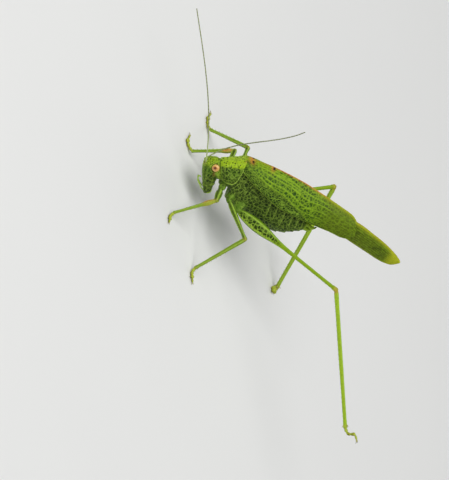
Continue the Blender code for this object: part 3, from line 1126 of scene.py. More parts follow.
@dataclass(frozen=True)
class Trunk:
    """Thorax and abdomen in one, with plates, overlapping rings and the tail's small parts."""

    prothorax: Keys = (  # in the forebody frame: place, centre, half width, rise, drop
        (0.84, -0.45, 0.95, 1.15, 1.25), (1.3, -0.6, 1.22, 1.37, 1.85), (2.0, -0.7, 1.4, 1.5, 2.35),
        (2.8, -0.7, 1.44, 1.53, 2.6), (3.6, -0.7, 1.4, 1.56, 2.65), (4.2, -0.7, 1.2, 1.35, 2.3))
    trunk: Keys = (  # in the body frame: place, centre, half width, rise, drop
        (2.9, -0.5, 1.22, 2.2, 2.26), (3.4, -0.5, 1.32, 2.44, 2.5), (4.1, -0.5, 1.4, 2.6, 2.74),
        (5.2, -0.5, 1.4, 2.65, 2.94), (6.3, -0.65, 1.29, 2.58, 2.84), (7.9, -1.0, 1.33, 2.8, 2.7),
        (9.4, -1.3, 1.28, 2.6, 2.5), (10.8, -1.35, 1.1, 1.95, 2.0), (11.9, -1.35, 0.86, 1.25, 1.2),
        (12.55, -1.35, 0.56, 0.7, 0.7), (12.82, -1.36, 0.34, 0.42, 0.42))
    plate: Keys = (
        (12.3, -1.66, 0.36, 0.24, 0.24), (12.84, -1.62, 0.38, 0.24, 0.24),
        (13.2, -1.56, 0.34, 0.22, 0.24), (13.48, -1.42, 0.22, 0.16, 0.18))
    cercus: Line = (
        (0.22, 12.35, -1.0), (0.32, 12.9, -0.9), (0.52, 13.25, -0.98), (0.5, 13.58, -0.86),
        (0.3, 13.84, -0.68))
    cercus_radii: tuple[float, ...] = (0.22, 0.23, 0.2, 0.15, 0.07)
    plate_ends: tuple[float, ...] = (6.65, 7.75, 8.65, 9.7, 10.7, 11.5, 12.15)
    lean: float = 0.17  # how far the plates' ends lean back for each millimetre down
    chest_seams: tuple[FlatLine, ...] = (
        ((2.95, -2.7), (3.75, 1.2)), ((3.8, -3.0), (4.75, 1.3)), ((4.75, -3.2), (5.75, 1.0)),
        ((3.2, -1.3), (4.2, -1.1)), ((4.2, -1.4), (5.2, -1.2)), ((5.6, -3.0), (6.2, 0.4)))
    seam_depth: float = 0.07
    ring_height: float = 0.13  # how far a ring of the abdomen stands over the next one

    def stretches(self) -> list[Stretch]:
        """Lay out prothorax, trunk, plate and cerci.

        Returns:
            The trunk's stretches of skin.
        """
        cerci = [fat_path(side.flip(self.cercus), self.cercus_radii, 14, 14) for side in Side]
        return [Stretch(Region.NECK, FOREBODY, section_rings(self.prothorax, 16, 40, grow=-0.1)),
                Stretch(Region.TRUNK, BODY_FRAME, section_rings(self.trunk, 50, 48)),
                Stretch(Region.TAIL, BODY_FRAME, section_rings(self.plate, 9, 20)),
                *(Stretch(Region.TAIL, BODY_FRAME, rings) for rings in cerci)]

    def marks(self, points: Array) -> Marks:
        """Plates of the thorax and overlapping rings of the abdomen, with painted shade over the trunk and
        painted light on the neck.

        Args:
            points: corners in the body frame.

        Returns:
            Their marks.
        """
        across, along, up = np.abs(points[:, 0]), points[:, 1], points[:, 2]
        side = np.stack([along, up], axis=1)
        chest = rise(6.4 - along, 0.0, 0.5)
        seam = np.maximum.reduce([near(path_distance(side, path), 0.07) for path in self.chest_seams])
        back = along + self.lean * (up + 0.5)
        ends = np.array(self.plate_ends)
        k = np.clip(np.searchsorted(ends, back), 1, len(ends) - 1)
        share = clamped((back - ends[k - 1]) / (ends[k] - ends[k - 1]))
        inside = (1.0 - chest) * rise(12.6 - along, 0.0, 0.3)
        overlap = (share - 0.45) * fall(share, 0.93, 1.0) - 0.45 * rise(share, 0.93, 1.0)
        fold_line = up + 2.35 - 0.02 * (along - 9.0) ** 2
        fold = near(fold_line, 0.09) * rise(across, 0.3, 0.6) * inside
        pleats = np.sin(13.0 * along) * near(up + 2.15, 0.3) * rise(across, 0.3, 0.6) * inside
        weak = np.sin(9.0 * back + 1.5 * np.sin(3.0 * up)) * inside
        # neck: the front of the prothorax under the shield's front edge; its extra pale and yellow, its
        # lighter net and its fading dark are painted light over the shade of that edge
        tail, neck = rise(along, 12.35, 12.75), fall(along, 1.5, 2.3)
        plain = 1.0 - 0.85 * tail
        edge = near(share - 0.9, 0.045) * inside
        pale = clamped(
            0.85 * edge * rise(-up, -0.8, 0.4) * (1.0 - 0.85 * rise(-up, 1.4, 2.1))
            + 0.3 * near(across, 0.35) * rise(-up, 1.8, 2.6) + 0.22 * near(seam - 0.45, 0.25) * chest
            + 0.25 * near(fold_line - 0.12, 0.06) * inside)
        return Marks(
            relief=-self.seam_depth * seam * chest + self.ring_height * overlap * inside - 0.07 * fold
            + 0.015 * pleats + 0.03 * near(fold_line - 0.16, 0.07) * inside + 0.008 * weak
            + 0.025 * np.sin(5.0 * along + 2.0 * up) * chest * (1.0 - seam),
            # the neck's share of pale is painted light under the shield's front edge
            pale=np.maximum.reduce([pale, 0.22 * neck, 0.3 * tail]),
            # painted shade: the trunk is darkened almost to black-green nearly all over, more on the upper
            # chest under the shield and the wings; it fades out towards the neck, which is painted light
            dark=plain * rise(along, 1.0, 2.4) * clamped(
                0.96 + 0.3 * seam * chest + 0.5 * near(share - 1.0, 0.07) * inside
                + 0.25 * near(share, 0.1) * inside - 0.3 * rise(-up, 2.2, 3.4)
                + 0.15 * chest * rise(up, -1.0, 0.5)),
            rust=0.2 * rise(along, 13.7, 13.95),
            # the neck's share of yellow is painted light under the shield's front edge
            yellow=0.85 * tail + 0.6 * neck,
            dots=0.65 * (1.0 - 0.7 * tail),
            hatch=(0.5 * chest + 0.3 * inside) * plain,
            # less net on the neck is part of the painted light there
            net=(0.9 * chest + 0.75 * inside) * plain * (1.0 - 0.6 * neck))


def limb_frame(start: Array, end: Array, hint: Array) -> Frame:
    """Set a frame on a straight stretch of leg.

    Args:
        start: the frame's place.
        end: where its Z points to.
        hint: the direction that its Y is nearest to.

    Returns:
        The frame.
    """
    along = unit(end - start)
    across = unit(np.cross(hint, along))
    return Frame(start, np.stack([across, np.cross(along, across), along], axis=1))


@dataclass(frozen=True)
class Leg:
    """One leg: its hip is in the body frame, as on the left, and its other places in the floor frame."""

    pair: Pair
    side: Side
    knee: Point
    ankle: Point
    toes: Line
    spread: float = 1.0  # how much wider the foot's pads are pressed

    @property
    def name(self) -> str:
        """The end of its nodes' names."""
        return self.pair.value + "_" + self.side.word

    def joints(self) -> tuple[Array, Array, Array, Array]:
        """Work out the leg's joints.

        Returns:
            Root of the coxa, hip, knee and ankle in the row frame.
        """
        hip = np.array(HIPS[self.pair])
        root, hip = (BODY_FRAME.out(self.side.flip(place)) for place in (hip + COXA_RISES[self.pair], hip))
        return root, hip, FLOOR_FRAME.out(self.knee), FLOOR_FRAME.out(self.ankle)

    def segment(self, region: Region, start: Array, end: Array, hint: Array, profile: Profile,
                square: float) -> Stretch:
        """Lay out one straight stretch with rounded ends.

        Args:
            region: what it is.
            start: its first joint.
            end: its second joint.
            hint: the direction that its depth lies in.
            profile: share of the length, half depth, half width.
            square: how square its section is; 2 is an ellipse.

        Returns:
            The stretch.
        """
        length, rings = float(np.linalg.norm(end - start)), []
        stations = [(0.0, -a) for a in (75.0, 45.0, 20.0)] + [(f, 0.0) for f in spread(0.0, 1.0, 34)]
        stations += [(1.0, a) for a in (20.0, 45.0, 75.0)]
        for share, angle in stations:
            depth, width = profile.row(share)
            shrink, out = math.cos(math.radians(angle)), math.sin(math.radians(angle))
            flat = oval(0.0, width * shrink, depth * shrink, depth * shrink, 20, square)
            rings.append(np.column_stack([flat, np.full(len(flat), share * length + out * depth * 0.8)]))
        return Stretch(region, limb_frame(start, end, hint), rings, self.pair, length)

    def foot_path(self) -> Array:
        """Smooth line from the ankle over the foot's joints."""
        return smooth_path([FLOOR_FRAME.back(self.joints()[3]), *self.toes], 60)

    def stretches(self) -> list[Stretch]:
        """Lay out coxa, trochanter, femur, tibia and foot.

        Returns:
            The five stretches, in that order.
        """
        root, hip, knee, ankle = self.joints()
        thigh, shin = unit(knee - hip), unit(ankle - knee)
        straight = (
            (Region.COXA, root, hip, thigh, COXA_SHAPES[self.pair], 2.0),
            (Region.COXA, hip, hip + 0.55 * thigh, shin, TROCHANTER, 2.0),
            (Region.FEMUR, hip + 0.35 * thigh, knee, shin, FEMUR_SHAPES[self.pair], 2.3),
            (Region.TIBIA, knee, ankle, thigh, TIBIA_SHAPES[self.pair], 2.6))
        parts = [self.segment(region, start, end, hint, Profile(shape), square)
                 for region, start, end, hint, shape, square in straight]
        return [*parts, self.foot()]

    def foot(self) -> Stretch:
        """Lay out the four-jointed foot, whose third joint has broad lobes.

        Returns:
            The foot's stretch of skin.
        """
        path, shape = self.foot_path(), Profile(FOOT_SHAPE)
        kept = path[:int(len(path) * FOOT_SHARE)]
        turns, rings = TURN * np.arange(18) / 18, []
        for i, point in enumerate(kept):
            along = unit(path[i + 1] - path[max(i - 1, 0)])
            across = unit(np.cross(along, (0.0, 0.0, 1.0)))
            wide, high = (self.spread * size for size in shape.row(i / (len(kept) - 1.0)))
            rings.append(point + np.outer(wide * np.cos(turns), across)
                         + np.outer(high * np.sin(turns), np.cross(across, along)))
        return Stretch(Region.FOOT, FLOOR_FRAME, rings, self.pair)


HIPS = {Pair.FORE: (0.95, 1.95, -1.9), Pair.MID: (1.1, 3.3, -2.4), Pair.HIND: (1.22, 4.6, -2.95)}
COXA_RISES = {Pair.FORE: (-0.4, 0.05, 0.8), Pair.MID: (-0.45, 0.25, 0.95), Pair.HIND: (-0.5, 0.3, 1.2)}
COXA_SHAPES = {  # share of the length, half depth, half width
    Pair.FORE: ((0.0, 0.42, 0.4), (0.6, 0.44, 0.42), (1.0, 0.3, 0.3)),
    Pair.MID: ((0.0, 0.44, 0.42), (0.6, 0.46, 0.44), (1.0, 0.3, 0.3)),
    Pair.HIND: ((0.0, 0.58, 0.48), (0.6, 0.6, 0.5), (1.0, 0.4, 0.38))}
TROCHANTER = ((0.0, 0.27, 0.27), (0.5, 0.29, 0.28), (1.0, 0.2, 0.2))
THIN_FEMUR = (
    (0.0, 0.17, 0.17), (0.15, 0.3, 0.25), (0.55, 0.25, 0.21), (0.88, 0.18, 0.17), (0.97, 0.24, 0.23),
    (1.0, 0.22, 0.22))
HIND_FEMUR = (
    (0.0, 0.27, 0.24), (0.06, 0.54, 0.38), (0.16, 0.72, 0.48), (0.26, 0.66, 0.44), (0.37, 0.41, 0.32),
    (0.48, 0.25, 0.22), (0.75, 0.2, 0.18), (0.95, 0.21, 0.2), (0.985, 0.29, 0.25), (1.0, 0.26, 0.24))
FORE_TIBIA = (
    (0.0, 0.19, 0.18), (0.06, 0.22, 0.21), (0.15, 0.29, 0.27), (0.25, 0.27, 0.25), (0.36, 0.19, 0.18),
    (0.9, 0.15, 0.15), (1.0, 0.18, 0.17))
MID_TIBIA = (
    (0.0, 0.2, 0.19), (0.06, 0.22, 0.21), (0.3, 0.2, 0.19), (0.9, 0.16, 0.15), (1.0, 0.19, 0.18))
HIND_TIBIA = (
    (0.0, 0.2, 0.19), (0.03, 0.26, 0.22), (0.1, 0.24, 0.21), (0.5, 0.23, 0.21), (0.95, 0.2, 0.19),
    (1.0, 0.24, 0.22))
FORE_FEMUR = (
    (0.0, 0.22, 0.22), (0.15, 0.38, 0.32), (0.55, 0.35, 0.31), (0.88, 0.27, 0.26), (0.97, 0.29, 0.28),
    (1.0, 0.27, 0.26))
FEMUR_SHAPES = {Pair.FORE: FORE_FEMUR, Pair.MID: THIN_FEMUR, Pair.HIND: HIND_FEMUR}
TIBIA_SHAPES = {Pair.FORE: FORE_TIBIA, Pair.MID: MID_TIBIA, Pair.HIND: HIND_TIBIA}
FOOT_SHAPE = (  # share of the kept line, half width, half height
    (0.0, 0.17, 0.17), (0.08, 0.15, 0.15), (0.2, 0.23, 0.19), (0.26, 0.13, 0.13), (0.32, 0.16, 0.15),
    (0.43, 0.25, 0.19), (0.49, 0.13, 0.12), (0.55, 0.2, 0.15), (0.67, 0.32, 0.19), (0.73, 0.15, 0.12),
    (0.8, 0.1, 0.1), (0.95, 0.13, 0.13), (1.0, 0.1, 0.1))
FOOT_SHARE = 0.86  # of the CAD foot's line; the claws take the rest

LEGS = (
    Leg(Pair.FORE, Side.LEFT, (3.5, 1.1, 4.93), (5.26, -0.06, 0.52),
        ((5.75, -0.1, 0.2), (6.1, -0.08, 0.2), (6.8, -0.02, 0.2))),
    Leg(Pair.MID, Side.LEFT, (6.14, 5.28, 6.99), (8.24, 6.25, 0.52),
        ((8.68, 6.34, 0.2), (9.1, 6.52, 0.2), (9.95, 7.02, 0.2))),
    Leg(Pair.HIND, Side.LEFT, (6.66, 15.52, 13.5), (17.52, 26.51, 11.35),
        ((17.78, 26.75, 11.37), (18.12, 27.05, 11.6), (18.25, 27.2, 12.35), (18.92, 27.9, 12.43))),
    Leg(Pair.FORE, Side.RIGHT, (-5.02, 2.44, 4.75), (-4.14, 0.36, 0.52),
        ((-4.55, -0.02, 0.2), (-5.0, -0.5, 0.2), (-6.25, -0.35, 0.2))),
    Leg(Pair.MID, Side.RIGHT, (-6.78, 4.11, 5.26), (-9.36, 2.68, 0.52),
        ((-9.85, 2.42, 0.2), (-10.74, 2.12, 0.2), (-11.97, 2.46, 0.2))),
    Leg(Pair.HIND, Side.RIGHT, (-8.79, 15.07, 10.69), (-1.82, 22.95, 0.52),
        ((-1.52, 22.88, 0.27), (-1.2, 22.7, 0.3), (-0.8, 22.52, 0.28)), spread=1.7))


def limb_marks(stretch: Stretch, points: Array) -> Marks:
    """Keels, ears, knees and colours of a leg's stretch.

    Args:
        stretch: the stretch of leg.
        points: corners in its frame.

    Returns:
        Their marks.
    """
    across, depth, place = points.T
    share, hind = place / stretch.length, stretch.pair is Pair.HIND
    turn = np.abs(np.arctan2(across, depth))  # 0 on the side that the joint folds to
    keel = np.maximum(near(turn - 0.74, 0.32), near(turn - 2.4, 0.32))
    groove = np.maximum.reduce([near(turn - middle, width) for middle, width in (
        (0.0, 0.34), (math.pi / 2, 0.5), (math.pi, 0.34))])
    beads = rise(np.sin(TURN * place / 0.34 + 2.0 * np.cos(2.0 * turn)), 0.0, 0.6) * groove
    knee = rise(share, 0.95, 1.0)
    if stretch.region is Region.FOOT:
        bands = rise(np.sin(TURN * place / 0.55), 0.1, 0.7)
        return Marks(pale=0.5 - 0.35 * bands, dark=0.45 * bands, rust=0.2 + 0.1 * bands, yellow=1.0,
                     dots=0.15 + 0.55 * bands)
    if stretch.region is Region.COXA:
        rim = near(share - 0.92, 0.05)
        return Marks(relief=0.03 * keel - 0.05 * rim, pale=0.16 + 0.35 * keel * rise(share, 0.1, 0.5),
                     dark=clamped(0.45 * fall(share, 0.2, 0.9) + 0.4 * near(share - 0.9, 0.05)),
                     dots=0.7, hatch=0.6 * fall(share, 0.4, 0.9))
    if stretch.region is Region.FEMUR and hind:
        thick = fall(share, 0.34, 0.46)
        keel = np.maximum(near(turn - 0.7, 0.15), near(turn - 2.52, 0.15))
        flank = rise(turn, 0.74, 0.9) * fall(turn, 2.32, 2.48) * thick
        rows = np.sin(TURN * (place - 0.9 * np.abs(depth - 0.05)) / 0.44)
        return Marks(relief=0.05 * keel + 0.022 * rows * flank - 0.05 * near(share - 0.955, 0.006),
                     pale=clamped(0.85 * keel * rise(share, 0.01, 0.05) * (0.45 + 0.55 * thick)),
                     dark=flank * (0.15 + 0.35 * rise(rows, -0.2, 0.6)) * rise(turn, 0.8, 1.5),
                     rust=0.45 * knee, net=0.95 * flank, dots=0.2 + 0.35 * flank,
                     yellow=clamped(0.3 + 0.4 * (1.0 - thick) + 0.55 * near(turn - 1.0, 0.35) * thick))
    if stretch.region is Region.FEMUR:
        dark = clamped(beads * (1.0 - keel) + 0.85 * groove)
        return Marks(relief=0.035 * keel - 0.012 * beads, pale=(0.08 + 0.95 * keel) * (1.0 - 0.8 * dark),
                     dark=clamped(dark + 0.7 * near(share - 0.955, 0.02)), rust=0.14 * knee, yellow=0.3,
                     dots=0.25)
    marks = Marks(relief=0.03 * keel, yellow=0.95 if hind else 0.65, dots=0.2,
                  pale=(0.1 + 0.45 * keel) if hind else (0.12 + 0.7 * keel),
                  rust=0.35 * fall(share, 0.0, 0.05) + 0.12 * rise(share, 0.96, 1.0))
    marks.dark = clamped((0.2 if hind else 0.95) * beads + (0.05 if hind else 0.45) * groove) * (1.0 - keel)
    if stretch.pair is Pair.FORE:
        ear = np.hypot((share - 0.2) / 0.075, (turn - math.pi / 2) / 0.42)
        swollen = fall(share, 0.27, 0.36)
        streaks = 0.5 + 0.5 * np.sin(7.0 * turn + 6.0 * place)
        face = near(turn - math.pi / 2, 0.75)
        marks.relief += 0.04 * near(ear - 1.0, 0.25) - 0.09 * near(ear, 0.75)
        marks.rust = clamped(swollen * face * (0.35 + 0.55 * streaks) + 0.2 * swollen)
        marks.pale = marks.pale * (1.0 - 0.6 * swollen) + swollen * (0.3 + 0.7 * near(ear - 1.05, 0.25))
        marks.dark = clamped(marks.dark * (1.0 - swollen) + 0.8 * near(ear, 0.45))
    return marks


@dataclass
class Skin:
    """The seamless skin over head, trunk and legs."""

    cell: float = 0.045  # size of the cells that the stretches are fused with
    quick_cell: float = 0.09
    faces: int = 185000  # triangles that are left of it
    smoothing: int = 3
    off_floor: float = 0.01  # how far its lowest corners stay over the soles' level
    head: Head = Head()
    trunk: Trunk = Trunk()
    trunk_nodes: tuple[str, ...] = ("head", "prothorax", "thorax", "abdomen", "subgenital_plate",
                                    "cercus_left", "cercus_right")
    leg_nodes: tuple[str, ...] = ("coxa", "femur", "tibia", "tarsus")

    def stretches(self) -> list[Stretch]:
        """All stretches of the skin."""
        legs = [stretch for leg in LEGS for stretch in leg.stretches()]
        return [*self.head.stretches(), *self.trunk.stretches(), *legs]

    def nodes(self) -> list[str]:
        """The CAD nodes of flesh that it stands for."""
        return [*self.trunk_nodes, *(part + "_" + leg.name for leg in LEGS for part in self.leg_nodes)]

    def fuse(self, stretches: Sequence[Stretch]) -> Item:
        """Extrude every stretch and melt them into one closed skin.

        Args:
            stretches: the stretches.

        Returns:
            The skin, without relief.
        """
        item = join("skin", [loft("stretch_%d" % k, s.placed()) for k, s in enumerate(stretches)])
        cell = self.cell
        apply_modifier(item, "melt", "REMESH", mode="VOXEL", voxel_size=cell)
        apply_modifier(item, "ease", "SMOOTH", factor=0.5, iterations=self.smoothing)
        return item

    def marks(self, item: Item, stretches: Sequence[Stretch]) -> Marks:
        """Marks at every corner, each by the stretch that it lies nearest to.

        Args:
            item: the fused skin.
            stretches: what it was fused from.

        Returns:
            The marks, softened where stretches meet.
        """
        points = corners(item)
        owners = np.repeat(np.arange(len(stretches)), [len(s.rings) * len(s.rings[0]) for s in stretches])
        tree = KDTree(len(owners))
        for k, place in enumerate(np.concatenate([ring for s in stretches for ring in s.placed()])):
            tree.insert(place, k)
        tree.balance()
        owner = owners[[tree.find(place)[1] for place in points]]
        whole = Marks(*(np.zeros(len(points)) for _ in MARK_NAMES))
        for k, stretch in enumerate(stretches):
            chosen = owner == k
            local = stretch.frame.back(points[chosen])
            if stretch.region is Region.HEAD:
                part = self.head.marks(local)
            elif stretch.region in (Region.TRUNK, Region.TAIL, Region.NECK):
                part = self.trunk.marks(BODY_FRAME.back(points[chosen]))
            else:
                part = limb_marks(stretch, local)
            for name in MARK_NAMES:
                getattr(whole, name)[chosen] = getattr(part, name)
        edges = np.empty(len(item.data.edges) * 2, np.int64)
        item.data.edges.foreach_get("vertices", edges)
        for name in MARK_NAMES:
            setattr(whole, name, soften(getattr(whole, name), edges.reshape(-1, 2), 2))
        return whole

    def build(self) -> Item:
        """Make the skin, raise its relief, thin it out and mark it.

        Returns:
            The skin, in millimetres.
        """
        stretches = self.stretches()
        item = self.fuse(stretches)
        marks = self.marks(item, stretches)
        places = corners(item) + outward(item) * marks.relief[:, None]
        places[:, 2] = np.maximum(places[:, 2], FLOOR_FRAME.origin[2] + self.off_floor)
        move_corners(item, places)
        triangles = sum(len(face.vertices) - 2 for face in item.data.polygons)
        if triangles > self.faces:
            apply_modifier(item, "thin", "DECIMATE", ratio=self.faces / triangles)
        marks = self.marks(item, stretches)
        mark(item, **{name: getattr(marks, name) for name in MARK_NAMES[1:]})
        return item


def soften(values: Array, edges: Array, rounds: int) -> Array:
    """Spread each corner's value over its neighbours.

    Args:
        values: one number for each corner.
        edges: the two ends of each edge.
        rounds: how many times.

    Returns:
        The softened numbers.
    """
    ends = np.concatenate([edges[:, 0], edges[:, 1]])
    others = np.concatenate([edges[:, 1], edges[:, 0]])
    counts = np.maximum(np.bincount(ends, minlength=len(values)), 1)
    for _ in range(rounds):
        around = np.bincount(ends, weights=values[others], minlength=len(values)) / counts
        values = 0.5 * values + 0.5 * around
    return values


# ---- shell plates and wings


@dataclass
class Shield:
    """Saddle-shaped plate over the prothorax, in the forebody frame."""

    top: Profile = Profile(((0.46, 0.84), (1.0, 0.8), (1.6, 0.76), (2.6, 0.82), (3.68, 1.04)))
    half_width: Profile = Profile((
        (0.46, 0.98), (0.9, 1.06), (1.3, 1.25), (2.0, 1.43), (2.8, 1.48), (3.68, 1.46)))
    drop: Profile = Profile(((0.46, 1.15), (1.3, 1.66), (2.0, 1.8), (3.68, 1.8)))
    lobe_edge: Profile = Profile((
        (0.46, -0.5), (0.8, -1.05), (1.1, -1.42), (1.5, -1.62), (2.0, -1.64), (2.53, -1.36),
        (2.95, -0.66), (3.27, 0.0), (3.47, 0.52), (3.68, 0.8)))
    middle: float = -0.5  # height at which the plate is widest
    square: float = 2.7
    flank: float = 3.4  # the way down a flank, from the ridge to the lobe's edge
    keel_place: float = 1.02
    furrow_places: tuple[float, ...] = (1.45, 2.35)
    rim_height: float = 0.045
    keel_height: float = 0.04
    furrow_depth: float = 0.045
    start: float = 0.74
    end: float = 3.68
    thickness: float = 0.07
    columns: int = 90
    rows: int = 150

    def surface(self, u: Array, v: Array) -> Array:
        """Lay out the plate.

        Args:
            u: from 0 at its front to 1 at its rear.
            v: from 0 at the right lobe's edge to 1 at the left's.

        Returns:
            Its points in the row frame.
        """
        place = self.start + (self.end - self.start) * u
        top, half, drop, edge = (p.at(place) for p in (self.top, self.half_width, self.drop, self.lobe_edge))
        power = self.square / 2.0
        above = clamped((edge - self.middle) / (top - self.middle)) ** power
        below = clamped((self.middle - edge) / drop) ** power
        last = np.arccos(np.clip(np.where(edge > self.middle, above, -below), -1.0, 1.0))
        angle = (2.0 * v - 1.0) * last
        wide, high = (np.sign(c) * np.abs(c) ** (2.0 / self.square) for c in (np.sin(angle), np.cos(angle)))
        height = self.middle + np.where(high > 0.0, top - self.middle, drop) * high
        bow = 0.1 * (2.0 * v - 1.0) ** 2 * (1.0 - u) ** 2
        return FOREBODY.out(np.stack([half * wide, place + bow, height], axis=1))

    def build(self) -> Item:
        """Lay the plate, mark it, raise its keels and rims and give it its thickness.

        Returns:
            The plate, in millimetres.
        """
        item = sheet("shield", self.columns, self.rows, self.surface)
        local = FOREBODY.back(corners(item))
        share, rim_side = marked(item, "grain_u"), np.abs(2.0 * marked(item, "grain_v") - 1.0)
        across, along, up = np.abs(local[:, 0]), local[:, 1], local[:, 2]
        lobe = rise(-up, -0.5, -0.2)
        length = self.end - self.start
        to_edge = np.minimum.reduce([(1.0 - rim_side) * self.flank, share * length, (1.0 - share) * length])
        rim, inner_rim = near(to_edge, 0.08), near(to_edge - 0.24, 0.07) * lobe
        keel = near(across - self.keel_place, 0.09) * (1.0 - lobe)
        front_furrow, hind_furrow = self.furrow_places
        furrow = (near(along - front_furrow - 0.25 * across, 0.06)
                  + near(along - hind_furrow - 0.3 * across, 0.06) + 0.6 * near(across, 0.04)) * (1.0 - rim)
        arc = near(np.hypot(along - 2.35, 1.1 * (up + 0.25)) - 0.62, 0.09) * lobe * rise(-up, 0.0, 0.3)
        wrinkle = np.sin(7.0 * along + 3.0 * np.sin(4.0 * up)) * np.sin(6.5 * up) * lobe
        relief = (self.rim_height * rim * (0.1 + 0.9 * rise(along, 0.9, 1.2)) + self.keel_height * keel
                  - self.furrow_depth * furrow - 0.045 * inner_rim + 0.02 * wrinkle - 0.03 * arc
                  + 0.012 * np.sin(9.0 * along) * np.sin(8.0 * across) * (1.0 - lobe))
        out = np.stack([local[:, 0], np.zeros(len(local)), up - self.middle], axis=1)
        out /= np.linalg.norm(out, axis=1)[:, None]
        move_corners(item, corners(item) + FOREBODY.turn(out) * relief[:, None])
        mark(item,
             pale=clamped(1.3 * near(to_edge - 0.03, 0.055) * lobe * (0.1 + 0.9 * rise(along, 1.25, 1.8))
                          + 0.2 * keel + 0.25 * arc + 0.22 * rise(wrinkle, 0.3, 0.9)),
             # painted shade: the side lobes, which hang down the flank, are darkened; the furrows and the
             # groove inside the rim are darker too
             dark=clamped(0.38 * lobe * (1.0 - rim) + 0.55 * inner_rim + 0.45 * furrow
                          + 0.3 * near(across - 1.16, 0.08) * lobe),
             yellow=0.1 + 0.95 * (1.0 - lobe) * (0.6 + 0.4 * rise(along, 0.7, 1.6)),
             rust=0.55 * near(np.hypot(across - 0.75, along - 3.66), 0.16),
             dots=0.95 - 0.25 * lobe,
             hatch=0.4 * lobe,
             net=0.75 * lobe + 0.2 * (1.0 - lobe))
        thicken(item, self.thickness)
        return item


@dataclass
class Wing:
    """What fore and hind wings share: a sheet in the body frame with a rounded tip."""

    side: Side
    start: float = 0.0
    end: float = 1.0
    breadth: float = 1.0  # from its upper edge to its lower one, laid flat
    rounding: float = 1.0  # how long the rounded tip is
    roundness: float = 2.2  # power of the tip's curve
    thickness: float = 0.05
    columns: int = 220
    rows: int = 60

    def reach(self, u: Array) -> Array:
        """Places along the body for u from 0 at the wing's base to 1 at its tip."""
        return self.start + (self.end - self.start) * u

    def left_at(self, place: Array) -> Array:
        """How much of the breadth is left at a place near the tip, from 1 to 0."""
        past = clamped((place - self.end + self.rounding) / self.rounding)
        return np.maximum(1.0 - past ** self.roundness, 0.0) ** (1.0 / self.roundness)

    def placed(self, across: Array, place: Array, up: Array) -> Array:
        """Points of this side's wing in the row frame."""
        return BODY_FRAME.out(np.stack([self.side.value * across, place, up], axis=1))

    def close(self, item: Item) -> Item:
        """Give the sheet its thickness.

        Args:
            item: the open sheet.

        Returns:
            The wing, in millimetres.
        """
        if self.side is Side.RIGHT:
            edit_all(item, bpy.ops.mesh.flip_normals)
        thicken(item, self.thickness)
        return item


